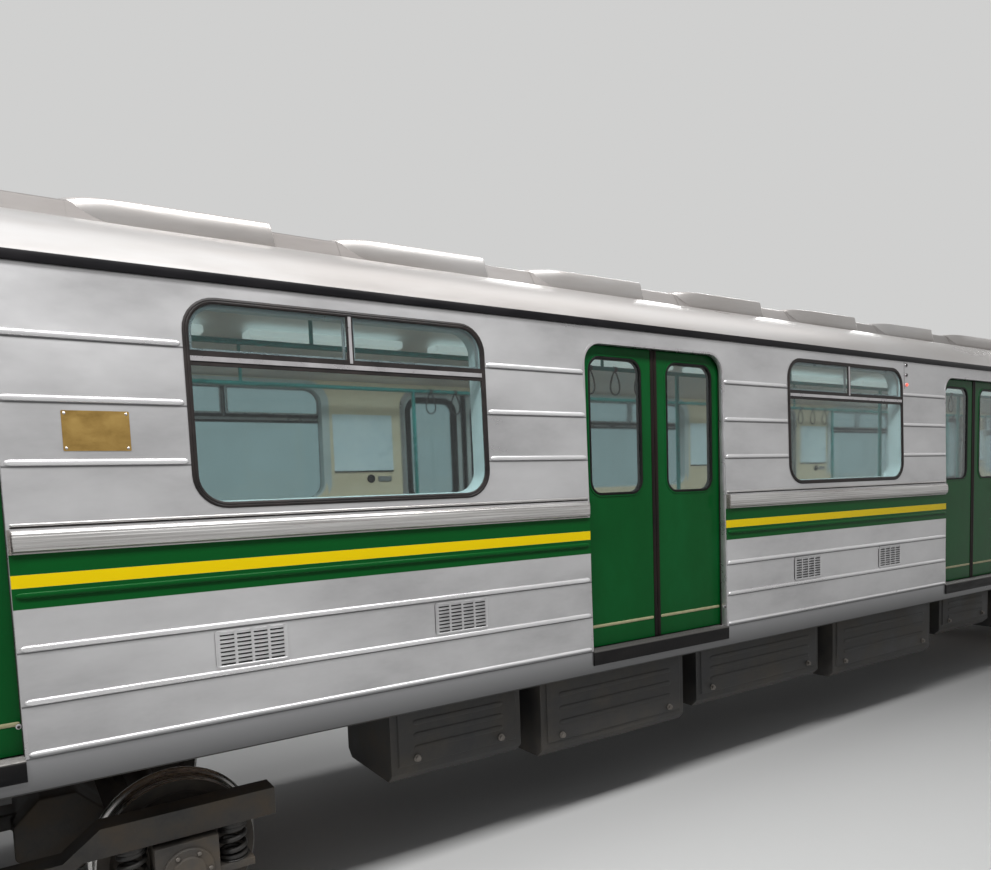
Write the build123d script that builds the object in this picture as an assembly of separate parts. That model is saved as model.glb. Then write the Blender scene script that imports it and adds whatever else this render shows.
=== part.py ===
from build123d import *

import os
from math import atan, atan2, cos, hypot, pi, sin, sqrt

# Metro car without a driver's cab: a ribbed steel body on two four-wheel bogies.
# Millimetres. X runs along the car, -Y is the side whose pieces are made first, +Z is up.
# Heights are above the rail head; each finished piece is lifted by the height of the wheel flange,
# so that z = 0 is the lowest point of the flanges. The origin is under the middle of the car.
# The other side of the car is the first side turned half round, so both ends are alike.

# Body shell
BODY_LENGTH = 18770
BODY_WIDTH = 2712
BELT_PROUD = 30
WALL_THICK = 35
WALL_BOTTOM = 1030
LEAN_START = 2030
LEAN_SLOPE = 0.021
WALL_TOP = 3251
END_WALL_THICK = 60
END_EDGE = 40
CROWN_TOP = 3640
CROWN_RADIUS = 4000
CANTRAIL_RADIUS = 620
ROOF_THICK = 40
ROOF_SEAM_LAP = 30

# Floor, lining and ceiling
FLOOR_TOP = 1208
FLOOR_THICK = 58
LINING_FACE = 1200
LINING_THICK = 16
LINING_TOP = 3180
CEILING_RISE = 320
CEILING_THICK = 12

# Doorways, the same distance apart, and their sliding leaves
DOOR_COUNT = 4
DOOR_PITCH = 4350
DOOR_OPENING = 1277
DOOR_TOP = 3107
DOOR_CORNER = 135
LEAF_THICK = 34
LEAF_GAP = 8
LEAF_BOTTOM = 1178
LEAF_TOP = 3130
LEAF_HIDDEN = 27
LEAF_MEETING_GAP = 2
LEAF_TRAVEL = 604
LEAF_WINDOW_START = 118
LEAF_WINDOW_WIDE = 447
LEAF_WINDOW_LOW = 2160
LEAF_WINDOW_HIGH = 3030
LEAF_WINDOW_CORNER = 90
PANE_THICK = 6
RAIL_HIGH = 40
SILL_THICK = 20
SILL_LIP = 12
SILL_LIP_BOTTOM = 1077

# Side windows
PIER = 734
WINDOW_WIDE = 1612
WINDOW_LOW = 2176
WINDOW_HIGH = 3140
WINDOW_CORNER = 155
END_WINDOW_WIDE = 1000
RUBBER_WIDE = 28
RUBBER_PROUD = 6
RUBBER_LAP = 14
TRANSOM_Z = 2860
TRANSOM_HIGH = 25
MULLION_WIDE = 22
GLASS_THICK = 8
CORNER_CHORDS = 3

# Clearances: between pieces that run or seat against each other, and of the soft pieces
RUN_GAP = 0.3
SOFT_GAP = 0.3

# Mouldings on the skin: ribs, fluted belt, cornice and rain gutter
RIB_HIGH = 27
RIB_FACE = 13
RIB_PROUD = 12
RIB_END_GAP = 10
RIB_END_TAPER = 20
UPPER_RIBS = (2922, 2659, 2395)
LOWER_RIBS = (1851, 1630, 1405, 1185)
BELT_LOW = 2030
BELT_HIGH = 2120
BELT_EDGE = 8
BELT_VALLEY = 20
BELT_FLUTES = 4
BELT_CAP = 40
CORNICE_Z = 2141
CORNICE_HIGH = 14
CORNICE_PROUD = 8
GUTTER_HIGH = 45
GUTTER_PROUD = 16
GUTTER_SHEET = 4

# Roof duct and ventilation hoods
DUCT_HALF = 850
DUCT_SIDE = 90
DUCT_TOP = 3660
DUCT_EDGE_RADIUS = 40
DUCT_END_GAP = 420
HOOD_PITCH = 1350
HOOD_NOSE_GAP = 1044
HOOD_MOUTH_GAP = 400
HOOD_LONG = 1050
HOOD_WIDE = 330
HOOD_NOSE_RADIUS = 157
HOOD_RISE = 46
HOOD_NOSE_RISE = 20
HOOD_RAKE = 20
HOOD_EDGE = 18
HOOD_SHEET = 8
HOOD_LAP = 5
HOOD_MOUTH_DEEP = 260

# Underframe
BEAM_WIDE = 140
BEAM_BOTTOM = 1010
BEARER_WIDE = 120
BEARER_BOTTOM = 1040
BEARER_COUNT = 9
BEARER_FROM_BOGIE = 2100
SILL_HALF = 180
BOLSTER_LONG = 700
HEADSTOCK_LONG = 140

# Bogies and wheelsets
BOGIE_CENTRES = 12600
WHEELBASE = 2100
WHEEL_RADIUS = 390
FLANGE_HIGH = 28
FLANGE_THICK = 32
WHEEL_BACK = 720
WHEEL_WIDE = 130
RIM_DEPTH = 70
DISH_DEEP = 75
HUB_RADIUS = 125
HUB_PROUD = 22
AXLE_RADIUS = 82
JOURNAL_RADIUS = 65
JOURNAL_FIT = 0.05
AXLE_HALF = 1078
BOX_INNER = 905
BOX_OUTER = 1095
BOX_HALF = 150
BOX_WING = 330
WING_LOW = 320
WING_THICK = 40
SPRING_RADIUS = 72
SPRING_OFFSET = 240
SPRING_SIDES = 12
FRAME_INNER = 930
FRAME_OUTER = 1070
FRAME_LOW = 560
FRAME_DEEP = 140
FRAME_DROP = 120
FRAME_HALF = 1500
FRAME_MID_HALF = 520
FRAME_CRANK = 160
CROSS_TUBE_X = 180
CROSS_TUBE_RADIUS = 70
BOLSTER_LOW = 790
BOLSTER_TOP = 940
BOLSTER_HALF_X = 180
BOLSTER_HALF_Y = 1090
BOLSTER_SPRING_RADIUS = 115
PIVOT_RADIUS = 60
PIVOT_FIT = 0.05
PIVOT_DEEP = 110
MOTOR_RADIUS = 235
MOTOR_SIDES = 8
MOTOR_HALF = 330
MOTOR_FROM_AXLE = 500
MOTOR_Z = 440
MOTOR_LUG = 90

# Couplers
COUPLER_OVERHANG = 198
COUPLER_Z = 800
COUPLER_PIVOT_IN = 885
COUPLER_HEAD_LONG = 330
COUPLER_HEAD_WIDE = 420
COUPLER_HEAD_HIGH = 300
COUPLER_HEAD_SLOPE = 75
COUPLER_BAR_WIDE = 130
COUPLER_BAR_HIGH = 140
COUPLER_PIN_RADIUS = 38
COUPLER_CHEEK = 40
COUPLER_CHEEK_WIDE = 260
COUPLER_CUP_RADIUS = 75
COUPLER_CUP_FIT = 4
COUPLER_CUP_DEEP = 90
COUPLER_CUP_TAPER = 25

# End doors
END_DOOR_WIDE = 650
END_DOOR_HIGH = 1900
END_DOOR_THICK = 40
END_DOOR_GAP = 6
END_GLASS_WIDE = 360
END_GLASS_LOW = 2200
END_GLASS_HIGH = 2950
END_SIDE_GLASS_WIDE = 470
END_SIDE_GLASS_Y = 760
END_GLASS_CORNER = 80
HINGE_RADIUS = 10
HINGE_STANDOFF = 12
HINGE_HIGH = 90
HINGE_HEIGHTS = (1500, 2800)
HINGE_FLAP = 30
HINGE_PLATE = 6
HINGE_LUG = 15

# Saloon
BENCH_DEEP = 440
BENCH_GAP = 160
END_BENCH_LONG = 960
SEAT_BASE_TOP = 1540
SEAT_BASE_INSET = 45
SEAT_TOP = 1658
BACK_THICK = 80
BACK_TOP = 2080
POLE_RADIUS = 17
POLE_SIDES = 8
POLE_GAP = 17
RAIL_Y = 750
RAIL_Z = 3060
RAIL_END_GAP = 300
HANGER_PITCH = 2175
LIGHT_Y = 560
LIGHT_WIDE = 180
LIGHT_LONG = 1200
LIGHT_DEEP = 60
LIGHT_COUNT = 12
LIGHT_PITCH = 1500

# Underfloor equipment: x of the middle, length, y of the middle, width, depth
UNDERFLOOR_BOXES = (
    (-3700, 900, -800, 640, 480),
    (-2450, 1300, -790, 680, 560),
    (-900, 1500, -800, 640, 500),
    (850, 1600, -790, 680, 560),
    (2350, 1000, -800, 640, 430),
    (3650, 1100, -790, 680, 520),
    (-3600, 1100, 790, 680, 520),
    (-2100, 1500, 800, 640, 480),
    (-450, 1300, 790, 680, 560),
    (1050, 1200, 800, 640, 430),
    (2500, 1300, 790, 680, 560),
    (3800, 800, 800, 640, 500),
)
LID_PROUD = 12
LID_MARGIN = 45
BOX_CHAMFER = 50

# Air tanks: x of the middle, length, radius
AIR_TANKS = (
    (-1900, 2300, 180),
    (1900, 2300, 180),
)
TANK_DOME = 70

# Louvred grilles low in the wall: distance of each one's middle from the middle of its wall section
GRILLE_OFFSET = 584
GRILLE_Z = 1517
GRILLE_WIDE = 345
GRILLE_HIGH = 180
GRILLE_BORDER = 16
GRILLE_PROUD = 8
GRILLE_PLATE = 4
GRILLE_ROWS = 8
GRILLE_COLUMNS = 4
GRILLE_BAR = 14

# Signal lamps beside a window
LAMP_HEIGHTS = (3175, 3090, 3005)
LAMP_RADIUS = 15
LAMP_SIDES = 12
LAMP_PROUD = 14
LAMP_FROM_WINDOW = 60

# Worked out from the sizes above
BODY_HALF = BODY_LENGTH / 2
SHELL_HALF = BODY_HALF - END_WALL_THICK
SKIN_Y = BODY_WIDTH / 2 - BELT_PROUD
INNER_Y = SKIN_Y - WALL_THICK
LINING_BACK = LINING_FACE + LINING_THICK
LEAF_INNER = LINING_BACK + LEAF_GAP
LEAF_OUTER = LEAF_INNER + LEAF_THICK
LEAF_WIDE = DOOR_OPENING / 2 + LEAF_HIDDEN - LEAF_MEETING_GAP / 2
FLOOR_BOTTOM = FLOOR_TOP - FLOOR_THICK
DOOR_X = [DOOR_PITCH * (i - (DOOR_COUNT - 1) / 2) for i in range(DOOR_COUNT)]
SECTION_LONG = DOOR_PITCH - DOOR_OPENING
SECTION_X = [DOOR_PITCH * (i - (DOOR_COUNT - 2) / 2) for i in range(DOOR_COUNT - 1)]
LAST_JAMB = DOOR_X[-1] + DOOR_OPENING / 2
END_WINDOW_X = LAST_JAMB + PIER + END_WINDOW_WIDE / 2
WINDOW_Z = (WINDOW_LOW + WINDOW_HIGH) / 2
BOGIE_X = BOGIE_CENTRES / 2
HOOD_COUNT = int((BODY_LENGTH - HOOD_NOSE_GAP - HOOD_LONG - HOOD_MOUTH_GAP) / HOOD_PITCH) + 1


def solid_box(x0, x1, y0, y1, z0, z1):
    """A block between two corners."""
    return Pos((x0 + x1) / 2, (y0 + y1) / 2, (z0 + z1) / 2) * Box(x1 - x0, y1 - y0, z1 - z0)


def polygon(points):
    """A flat face inside a closed outline of straight lines."""
    return make_face(Polyline(*points, close=True))


def quarter_arc(x, y, radius, start):
    """Points of a quarter circle about x, y from the angle start, at the ends of its chords."""
    angles = [start + pi / 2 * i / CORNER_CHORDS for i in range(CORNER_CHORDS + 1)]
    return [(x + radius * cos(a), y + radius * sin(a)) for a in angles]


def rounded(wide, high, radius):
    """A rectangle whose round corners are drawn as a few chords each."""
    x = wide / 2 - radius
    y = high / 2 - radius
    points = quarter_arc(x, y, radius, 0) + quarter_arc(-x, y, radius, pi / 2)
    points += quarter_arc(-x, -y, radius, pi) + quarter_arc(x, -y, radius, 3 * pi / 2)
    return polygon(points)


def along_x(sketch, x0, x1):
    """A sketch drawn in the YZ plane, carried along the car from x0 to x1."""
    return extrude(Plane.YZ.offset(x0) * sketch, x1 - x0)


def rod(start, end, section):
    """A flat section carried along the line between two points."""
    line = Vector(*end) - Vector(*start)
    return extrude(Plane(origin=start, z_dir=line) * section, line.length)


def group(solids):
    """Several solids kept as one node."""
    return Compound(children=[s for piece in solids for s in piece.solids()])


def half_turn(shape):
    """The same piece on the other side and end of the car."""
    return Rot(0, 0, 180) * shape


def both_sides(solids):
    """The pieces of the first side together with those of the other side."""
    return group(list(solids) + [half_turn(s) for s in solids])


def save(name, shape):
    """Writes one node, lifted so that the flanges stand at z = 0."""
    export_step(Pos(0, 0, FLANGE_HIGH) * shape, os.path.join("parts", name + ".step"))


# The wall above LEAN_START leans in. This plane lies on its skin: x along the car, y up the wall,
# z outwards. The second plane has the same directions on the upright skin below.
WALL_PLANE = Plane(
    origin=(0, -SKIN_Y, LEAN_START),
    x_dir=(1, 0, 0),
    z_dir=(0, -cos(atan(LEAN_SLOPE)), sin(atan(LEAN_SLOPE))),
)
BELOW_PLANE = Plane(origin=(0, -SKIN_Y, LEAN_START), x_dir=(1, 0, 0), z_dir=(0, -1, 0))


def wall_y(z):
    """Distance of the outer skin from the car's middle plane at a height."""
    return SKIN_Y - max(0, z - LEAN_START) * LEAN_SLOPE


def up_wall(z):
    """Height z measured along the skin from where it starts to lean."""
    return (z - LEAN_START) / (cos(atan(LEAN_SLOPE)) if z > LEAN_START else 1)


def on_wall(sketch, x, z, start, end):
    """A sketch with its middle at x, z on the leaning skin, from depth start to depth end outwards."""
    return extrude(WALL_PLANE.offset(start) * Pos(x, up_wall(z)) * sketch, end - start)


# Roof arch: a crown arc that runs into a tighter arc above each wall
def arch_centres():
    """Height of the crown arc's centre, and the centre of the tight arc that ends on the wall."""
    crown_z = CROWN_TOP - CROWN_RADIUS
    wall = (wall_y(WALL_TOP), WALL_TOP)
    reach = hypot(wall[0], wall[1] - crown_z)
    inner = CROWN_RADIUS - CANTRAIL_RADIUS
    along = (inner**2 - CANTRAIL_RADIUS**2 + reach**2) / (2 * reach)
    aside = sqrt(inner**2 - along**2)
    unit = (wall[0] / reach, (wall[1] - crown_z) / reach)
    return crown_z, (along * unit[0] - aside * unit[1], crown_z + along * unit[1] + aside * unit[0])


def arch_lines(inset, base):
    """Lines of the roof arch, moved in by inset, from the right at height base to the left."""
    crown_z, (tight_y, tight_z) = arch_centres()
    tight = CANTRAIL_RADIUS - inset
    crown = CROWN_RADIUS - inset
    low = (tight_y + sqrt(tight**2 - (base - tight_z) ** 2), base)
    turn = atan2(tight_z - crown_z, tight_y)
    joint = (crown * cos(turn), crown_z + crown * sin(turn))
    half = (atan2(base - tight_z, low[0] - tight_y) + turn) / 2
    middle = (tight_y + tight * cos(half), tight_z + tight * sin(half))
    right = ThreePointArc(low, middle, joint)
    top = ThreePointArc(joint, (0, crown_z + crown), (-joint[0], joint[1]))
    left = ThreePointArc((-joint[0], joint[1]), (-middle[0], middle[1]), (-low[0], base))
    return [right, top, left], low


def arch_face(inset, base):
    """Everything under the arch down to height base."""
    lines, low = arch_lines(inset, base)
    return make_face(Curve() + lines + [Line((-low[0], base), low)])


def body_face():
    """The whole cross-section of the body, from the foot of one wall over the roof to the other."""
    lines, low = arch_lines(0, WALL_TOP)
    side = [(-low[0], WALL_TOP), (-SKIN_Y, LEAN_START), (-SKIN_Y, WALL_BOTTOM)]
    side += [(-y, z) for y, z in reversed(side)]
    return make_face(Curve() + lines + [Polyline(*side)])


def make_roof():
    """Roof skin on top of the walls: a crown sheet between two cantrail sheets, seams under the duct."""
    ring = arch_face(0, WALL_TOP) - arch_face(ROOF_THICK, WALL_TOP)
    roof = along_x(ring, -SHELL_HALF, SHELL_HALF)
    for side in (-1, 1):
        y = side * (DUCT_HALF - ROOF_SEAM_LAP)
        roof -= solid_box(-SHELL_HALF, SHELL_HALF, y - RUN_GAP / 2, y + RUN_GAP / 2, WALL_TOP, CROWN_TOP)
    return roof


def duct_edge_z():
    """Height of the roof where the side of the duct stands on it."""
    crown_z, _ = arch_centres()
    return crown_z + sqrt(CROWN_RADIUS**2 - DUCT_HALF**2)


def make_duct():
    """Raised duct along the middle of the roof, with rounded upper edges."""
    end = BODY_HALF - DUCT_END_GAP
    top = duct_edge_z() + DUCT_SIDE
    outline = Curve() + [
        Line((-DUCT_HALF, WALL_TOP), (DUCT_HALF, WALL_TOP)),
        Line((DUCT_HALF, WALL_TOP), (DUCT_HALF, top)),
        ThreePointArc((DUCT_HALF, top), (0, DUCT_TOP), (-DUCT_HALF, top)),
        Line((-DUCT_HALF, top), (-DUCT_HALF, WALL_TOP)),
    ]
    section = make_face(outline)
    section = fillet(section.vertices().group_by(Axis.Y)[-1], DUCT_EDGE_RADIUS)
    return along_x(section - arch_face(0, WALL_TOP), -end, end)


def make_hood():
    """One ventilation hood with its nose at x = 0: a sheet bonnet with a round nose, open towards +X.
    It leans on the side of the duct, rises from its nose to its mouth, and the mouth is raked."""
    edge = duct_edge_z()
    low = edge - DUCT_SIDE
    high = edge + DUCT_SIDE
    y0 = -DUCT_HALF - HOOD_LAP
    y1 = y0 + HOOD_WIDE
    nose = HOOD_NOSE_RADIUS
    plan = quarter_arc(nose, y1 - nose, nose, pi / 2) + quarter_arc(nose, y0 + nose, nose, pi)
    plan += [(HOOD_LONG, y0), (HOOD_LONG, y1)]
    side = [
        (0, low),
        (HOOD_LONG, low),
        (HOOD_LONG - HOOD_RAKE, high + HOOD_RISE),
        (0, high + HOOD_NOSE_RISE),
    ]
    hood = extrude(Plane.XY.offset(low) * polygon(plan), high + HOOD_RISE - low)
    hood &= extrude(Plane.XZ * polygon(side), HOOD_LONG, both=True)
    top = hood.faces().sort_by(Axis.Z)[-1]
    hood = chamfer(top.edges().sort_by(Axis.X)[:-1], HOOD_EDGE)
    inside = HOOD_LONG - HOOD_MOUTH_DEEP
    slope = (HOOD_RISE - HOOD_NOSE_RISE) / (HOOD_LONG - HOOD_RAKE)
    under = high + HOOD_NOSE_RISE - HOOD_SHEET
    room = [(inside, high), (HOOD_LONG, high), (HOOD_LONG, under + slope * HOOD_LONG), (inside, under + slope * inside)]
    mouth = extrude(Plane.XZ * polygon(room), HOOD_WIDE / 2 - HOOD_SHEET, both=True)
    return hood - Pos(0, (y0 + y1) / 2, 0) * mouth


def make_hoods(duct):
    """The row of hoods along one edge of the duct, cut to the roof and duct that they stand on."""
    below = along_x(arch_face(0, WALL_TOP), -HOOD_LONG, 2 * HOOD_LONG)
    hood = make_hood() - below - duct
    first = -BODY_HALF + HOOD_NOSE_GAP
    return [Pos(first + i * HOOD_PITCH, 0, 0) * hood for i in range(HOOD_COUNT)]


def window_list():
    """Middle and width of each window of one side."""
    middle = [(x, WINDOW_WIDE) for x in SECTION_X]
    return [(-END_WINDOW_X, END_WINDOW_WIDE)] + middle + [(END_WINDOW_X, END_WINDOW_WIDE)]


def window_outline(wide, inset):
    """Rounded outline of a window, moved in by inset."""
    high = up_wall(WINDOW_HIGH) - up_wall(WINDOW_LOW)
    return rounded(wide - 2 * inset, high - 2 * inset, WINDOW_CORNER - inset)


def door_cut(x):
    """Cutter for a doorway with rounded upper corners, through the whole wall."""
    half = DOOR_OPENING / 2
    arc_x = half - DOOR_CORNER
    arc_z = DOOR_TOP - DOOR_CORNER
    outline = quarter_arc(arc_x, arc_z, DOOR_CORNER, 0) + quarter_arc(-arc_x, arc_z, DOOR_CORNER, pi / 2)
    outline += [(-half, FLOOR_BOTTOM), (half, FLOOR_BOTTOM)]
    return Pos(x, -SKIN_Y, 0) * extrude(Plane.XZ * polygon(outline), 2 * WALL_THICK, both=True)


def make_side_wall():
    """Outer wall of one side, upright below and leaning in above, with its doorways and windows."""
    top_y = wall_y(WALL_TOP)
    outer = [(-SKIN_Y, WALL_BOTTOM), (-SKIN_Y, LEAN_START), (-top_y, WALL_TOP)]
    inner = [(WALL_THICK + y, z) for y, z in reversed(outer)]
    wall = along_x(polygon(outer + inner), -SHELL_HALF, SHELL_HALF)
    for x in DOOR_X:
        wall -= door_cut(x)
    for x, wide in window_list():
        wall -= on_wall(window_outline(wide, RUBBER_LAP), x, WINDOW_Z, -2 * WALL_THICK, WALL_THICK)
    return wall


def make_lining():
    """Inner wall of the saloon on one side, open at the doorways and windows."""
    openings = [(x, DOOR_OPENING, FLOOR_TOP, DOOR_TOP) for x in DOOR_X]
    low = WINDOW_LOW + RUBBER_LAP
    openings += [(x, wide - 2 * RUBBER_LAP, low, WINDOW_HIGH - RUBBER_LAP) for x, wide in window_list()]
    panel = solid_box(-SHELL_HALF, SHELL_HALF, -LINING_BACK, -LINING_FACE, FLOOR_TOP, LINING_TOP)
    for x, wide, low, high in openings:
        panel -= solid_box(x - wide / 2, x + wide / 2, -LINING_BACK, -LINING_FACE, low, high)
    return panel


def ceiling_arc(half, rise):
    """Flat segment under an arc that rises in the middle above the top of the linings."""
    arc = ThreePointArc((half, LINING_TOP), (0, LINING_TOP + rise), (-half, LINING_TOP))
    return make_face(Curve() + [arc, Line((-half, LINING_TOP), (half, LINING_TOP))])


def make_ceiling():
    """Arched ceiling that rests on the linings."""
    inner = ceiling_arc(LINING_BACK - CEILING_THICK, CEILING_RISE - CEILING_THICK)
    return along_x(ceiling_arc(LINING_BACK, CEILING_RISE) - inner, -SHELL_HALF, SHELL_HALF)


def ceiling_z(y):
    """Height of the ceiling's lower face at a distance from the middle plane."""
    half = LINING_BACK - CEILING_THICK
    rise = CEILING_RISE - CEILING_THICK
    radius = (half**2 + rise**2) / (2 * rise)
    return LINING_TOP + rise - radius + sqrt(radius**2 - y**2)


def make_window_frames():
    """Rubber lip round each window of a side, with a transom and a mullion for the upper vents."""
    frames = []
    high = (up_wall(WINDOW_HIGH) - up_wall(WINDOW_LOW)) / 2 - RUBBER_WIDE
    transom = up_wall(TRANSOM_Z) - up_wall(WINDOW_Z)
    for x, wide in window_list():
        lip = window_outline(wide, 0) - window_outline(wide, RUBBER_WIDE)
        lip += Pos(0, transom) * Rectangle(wide - 2 * RUBBER_WIDE, TRANSOM_HIGH)
        lip += Pos(0, (high + transom) / 2) * Rectangle(MULLION_WIDE, high - transom)
        frames.append(on_wall(lip, x, WINDOW_Z, 0, RUBBER_PROUD))
    return frames


def make_window_glass():
    """Panes behind the rubber lips, one in each window hole of a side."""
    panes = []
    for x, wide in window_list():
        outline = window_outline(wide, RUBBER_LAP + RUN_GAP)
        panes.append(on_wall(outline, x, WINDOW_Z, -GLASS_THICK, 0))
    return panes


def bar(x0, x1, z, profile, depth, taper):
    """A moulding on the skin from x0 to x1, whose ends slope back to the wall over taper.
    The profile has x up the wall and y outwards."""
    long = x1 - x0
    body = extrude(Plane.YZ * profile, long)
    sides = polygon([(0, 0), (taper, depth), (long - taper, depth), (long, 0)])
    body &= extrude(Plane.XZ * sides, long, both=True)
    plane = WALL_PLANE if z > LEAN_START else BELOW_PLANE
    return plane.location * Pos(x0, up_wall(z), 0) * body


def rib_profile():
    """Rib with sloping flanks."""
    foot = RIB_HIGH / 2
    face = RIB_FACE / 2
    return polygon([(-foot, 0), (-face, RIB_PROUD), (face, RIB_PROUD), (foot, 0)])


def belt_profile():
    """Belt moulding: a bar whose face is fluted lengthways into BELT_FLUTES ridges."""
    half = (BELT_HIGH - BELT_LOW) / 2
    edge = half - BELT_EDGE
    step = 2 * edge / BELT_FLUTES
    points = [(-half, 0), (-edge, BELT_VALLEY)]
    for i in range(BELT_FLUTES):
        ridge = -edge + (i + 0.5) * step
        points += [(ridge, BELT_PROUD), (ridge + step / 2, BELT_VALLEY)]
    return polygon(points + [(half, 0)])


def cornice_profile():
    """Flat strip above the belt."""
    half = CORNICE_HIGH / 2
    return polygon([(-half, 0), (-half, CORNICE_PROUD), (half, CORNICE_PROUD), (half, 0)])


def gutter_profile():
    """Rain gutter: a channel section open at the top."""
    half = GUTTER_HIGH / 2
    sheet = GUTTER_SHEET
    outside = [(half, 0), (-half, 0), (-half, GUTTER_PROUD), (half, GUTTER_PROUD)]
    trough = GUTTER_PROUD - sheet
    return polygon(outside + [(half, trough), (sheet - half, trough), (sheet - half, sheet), (half, sheet)])


def panel_list():
    """Start and end of each wall panel beside the doorways, and of the window in it."""
    half = DOOR_OPENING / 2
    starts = [-SHELL_HALF] + [x + half for x in DOOR_X]
    ends = [x - half for x in DOOR_X] + [SHELL_HALF]
    windows = [(x - wide / 2, x + wide / 2) for x, wide in window_list()]
    return [(start, end, left, right) for start, end, (left, right) in zip(starts, ends, windows)]


def make_mouldings():
    """Ribs, belt and cornice of one side, each ending just short of a doorway or a window."""
    pieces = []
    rib = rib_profile()
    belt = belt_profile()
    cornice = cornice_profile()
    for start, end, left, right in panel_list():
        x0 = start + RIB_END_GAP
        x1 = end - RIB_END_GAP
        pieces += [bar(x0, x1, z, rib, RIB_PROUD, RIB_END_TAPER) for z in LOWER_RIBS]
        pieces.append(bar(x0, x1, (BELT_LOW + BELT_HIGH) / 2, belt, BELT_PROUD, BELT_CAP))
        pieces.append(bar(x0, x1, CORNICE_Z, cornice, CORNICE_PROUD, CORNICE_PROUD))
        for z in UPPER_RIBS:
            pieces.append(bar(x0, left - RIB_END_GAP, z, rib, RIB_PROUD, RIB_END_TAPER))
            pieces.append(bar(right + RIB_END_GAP, x1, z, rib, RIB_PROUD, RIB_END_TAPER))
    return pieces


def make_gutter():
    """Rain gutter along the top of one wall."""
    z = WALL_TOP - GUTTER_HIGH / 2
    return bar(-SHELL_HALF, SHELL_HALF, z, gutter_profile(), GUTTER_PROUD, GUTTER_PROUD)


def make_grilles():
    """Louvred grilles of one side, two to each middle wall section.
    The louvres are one sawtooth section, crossed by upright bars and framed by a rim."""
    wide = GRILLE_WIDE - 2 * GRILLE_BORDER
    high = GRILLE_HIGH - 2 * GRILLE_BORDER
    pitch = high / GRILLE_ROWS
    teeth = [(-high / 2, 0)]
    for row in range(GRILLE_ROWS):
        foot = -high / 2 + row * pitch
        teeth += [(foot, GRILLE_PROUD), (foot + pitch, GRILLE_PLATE)]
    teeth.append((high / 2, 0))
    grille = Pos(-wide / 2, 0, 0) * extrude(Plane.YZ * polygon(teeth), wide)
    bars = Rectangle(GRILLE_WIDE, GRILLE_HIGH) - Rectangle(wide, high)
    for column in range(1, GRILLE_COLUMNS):
        bars += Pos(wide * (column / GRILLE_COLUMNS - 0.5), 0) * Rectangle(GRILLE_BAR, high)
    grille += extrude(bars, GRILLE_PROUD)
    places = [x + side * GRILLE_OFFSET for x in SECTION_X for side in (-1, 1)]
    return [BELOW_PLANE.location * Pos(x, GRILLE_Z - LEAN_START, 0) * grille for x in places]


def make_lamps():
    """Column of signal lamps beside the middle window of one side."""
    x = WINDOW_WIDE / 2 + LAMP_FROM_WINDOW
    lens = RegularPolygon(LAMP_RADIUS, LAMP_SIDES)
    return [on_wall(lens, x, z, 0, LAMP_PROUD) for z in LAMP_HEIGHTS]


def make_sills():
    """Threshold of each doorway of one side: a ledge over the side beam and a lip down the outside."""
    sills = []
    front = -SKIN_Y - SILL_LIP
    for x in DOOR_X:
        x0 = x - DOOR_OPENING / 2
        x1 = x + DOOR_OPENING / 2
        ledge = solid_box(x0, x1, front, -LINING_BACK, FLOOR_BOTTOM, FLOOR_BOTTOM + SILL_THICK)
        sills.append(ledge + solid_box(x0, x1, front, -SKIN_Y, SILL_LIP_BOTTOM, FLOOR_BOTTOM))
    return sills


def make_door_rails():
    """Rails from which the leaves hang, one over each doorway of a side, fixed to the lining."""
    reach = LEAF_WIDE + LEAF_TRAVEL
    front = -LEAF_OUTER + LEAF_GAP
    low = LEAF_TOP + RUN_GAP
    return [solid_box(x - reach, x + reach, front, -LINING_BACK, low, low + RAIL_HIGH) for x in DOOR_X]


def make_leaf(x, side):
    """Door leaf with its pane; side is -1 for the leaf that slides towards -X and 1 for the other."""
    z = (LEAF_TOP + LEAF_BOTTOM) / 2
    middle = LEAF_MEETING_GAP / 2 + LEAF_WIDE / 2
    window = Pos(LEAF_WINDOW_START + LEAF_WINDOW_WIDE / 2, (LEAF_WINDOW_HIGH + LEAF_WINDOW_LOW) / 2)
    high = LEAF_WINDOW_HIGH - LEAF_WINDOW_LOW
    hole = window * rounded(LEAF_WINDOW_WIDE, high, LEAF_WINDOW_CORNER)
    fit = 2 * RUN_GAP
    pane = window * rounded(LEAF_WINDOW_WIDE - fit, high - fit, LEAF_WINDOW_CORNER - RUN_GAP)
    panel = Pos(middle, z) * Rectangle(LEAF_WIDE, LEAF_TOP - LEAF_BOTTOM) - hole
    leaf = extrude(Plane.XY.offset(LEAF_INNER) * panel, LEAF_THICK)
    glass = extrude(Plane.XY.offset((LEAF_INNER + LEAF_OUTER - PANE_THICK) / 2) * pane, PANE_THICK)
    pieces = [leaf, glass] if side > 0 else [mirror(leaf, Plane.YZ), mirror(glass, Plane.YZ)]
    return Pos(x, 0, 0) * Rot(90, 0, 0) * group(pieces)


def bench_spans():
    """Start and end of each bench of one side."""
    spans = [(x - SECTION_LONG / 2 + BENCH_GAP, x + SECTION_LONG / 2 - BENCH_GAP) for x in SECTION_X]
    start = LAST_JAMB + BENCH_GAP
    return spans + [(start, start + END_BENCH_LONG), (-start - END_BENCH_LONG, -start)]


def make_benches():
    """Bases, cushions and backs of the benches along one side."""
    bases = []
    cushions = []
    backs = []
    front = LINING_FACE - BENCH_DEEP
    wall = -LINING_FACE + SOFT_GAP
    for x0, x1 in bench_spans():
        bases.append(solid_box(x0, x1, -LINING_FACE, -front - SEAT_BASE_INSET, FLOOR_TOP, SEAT_BASE_TOP))
        cushions.append(solid_box(x0, x1, wall, -front, SEAT_BASE_TOP + SOFT_GAP, SEAT_TOP))
        backs.append(solid_box(x0, x1, wall, wall + BACK_THICK, SEAT_TOP + SOFT_GAP, BACK_TOP))
    return bases, cushions, backs


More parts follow.
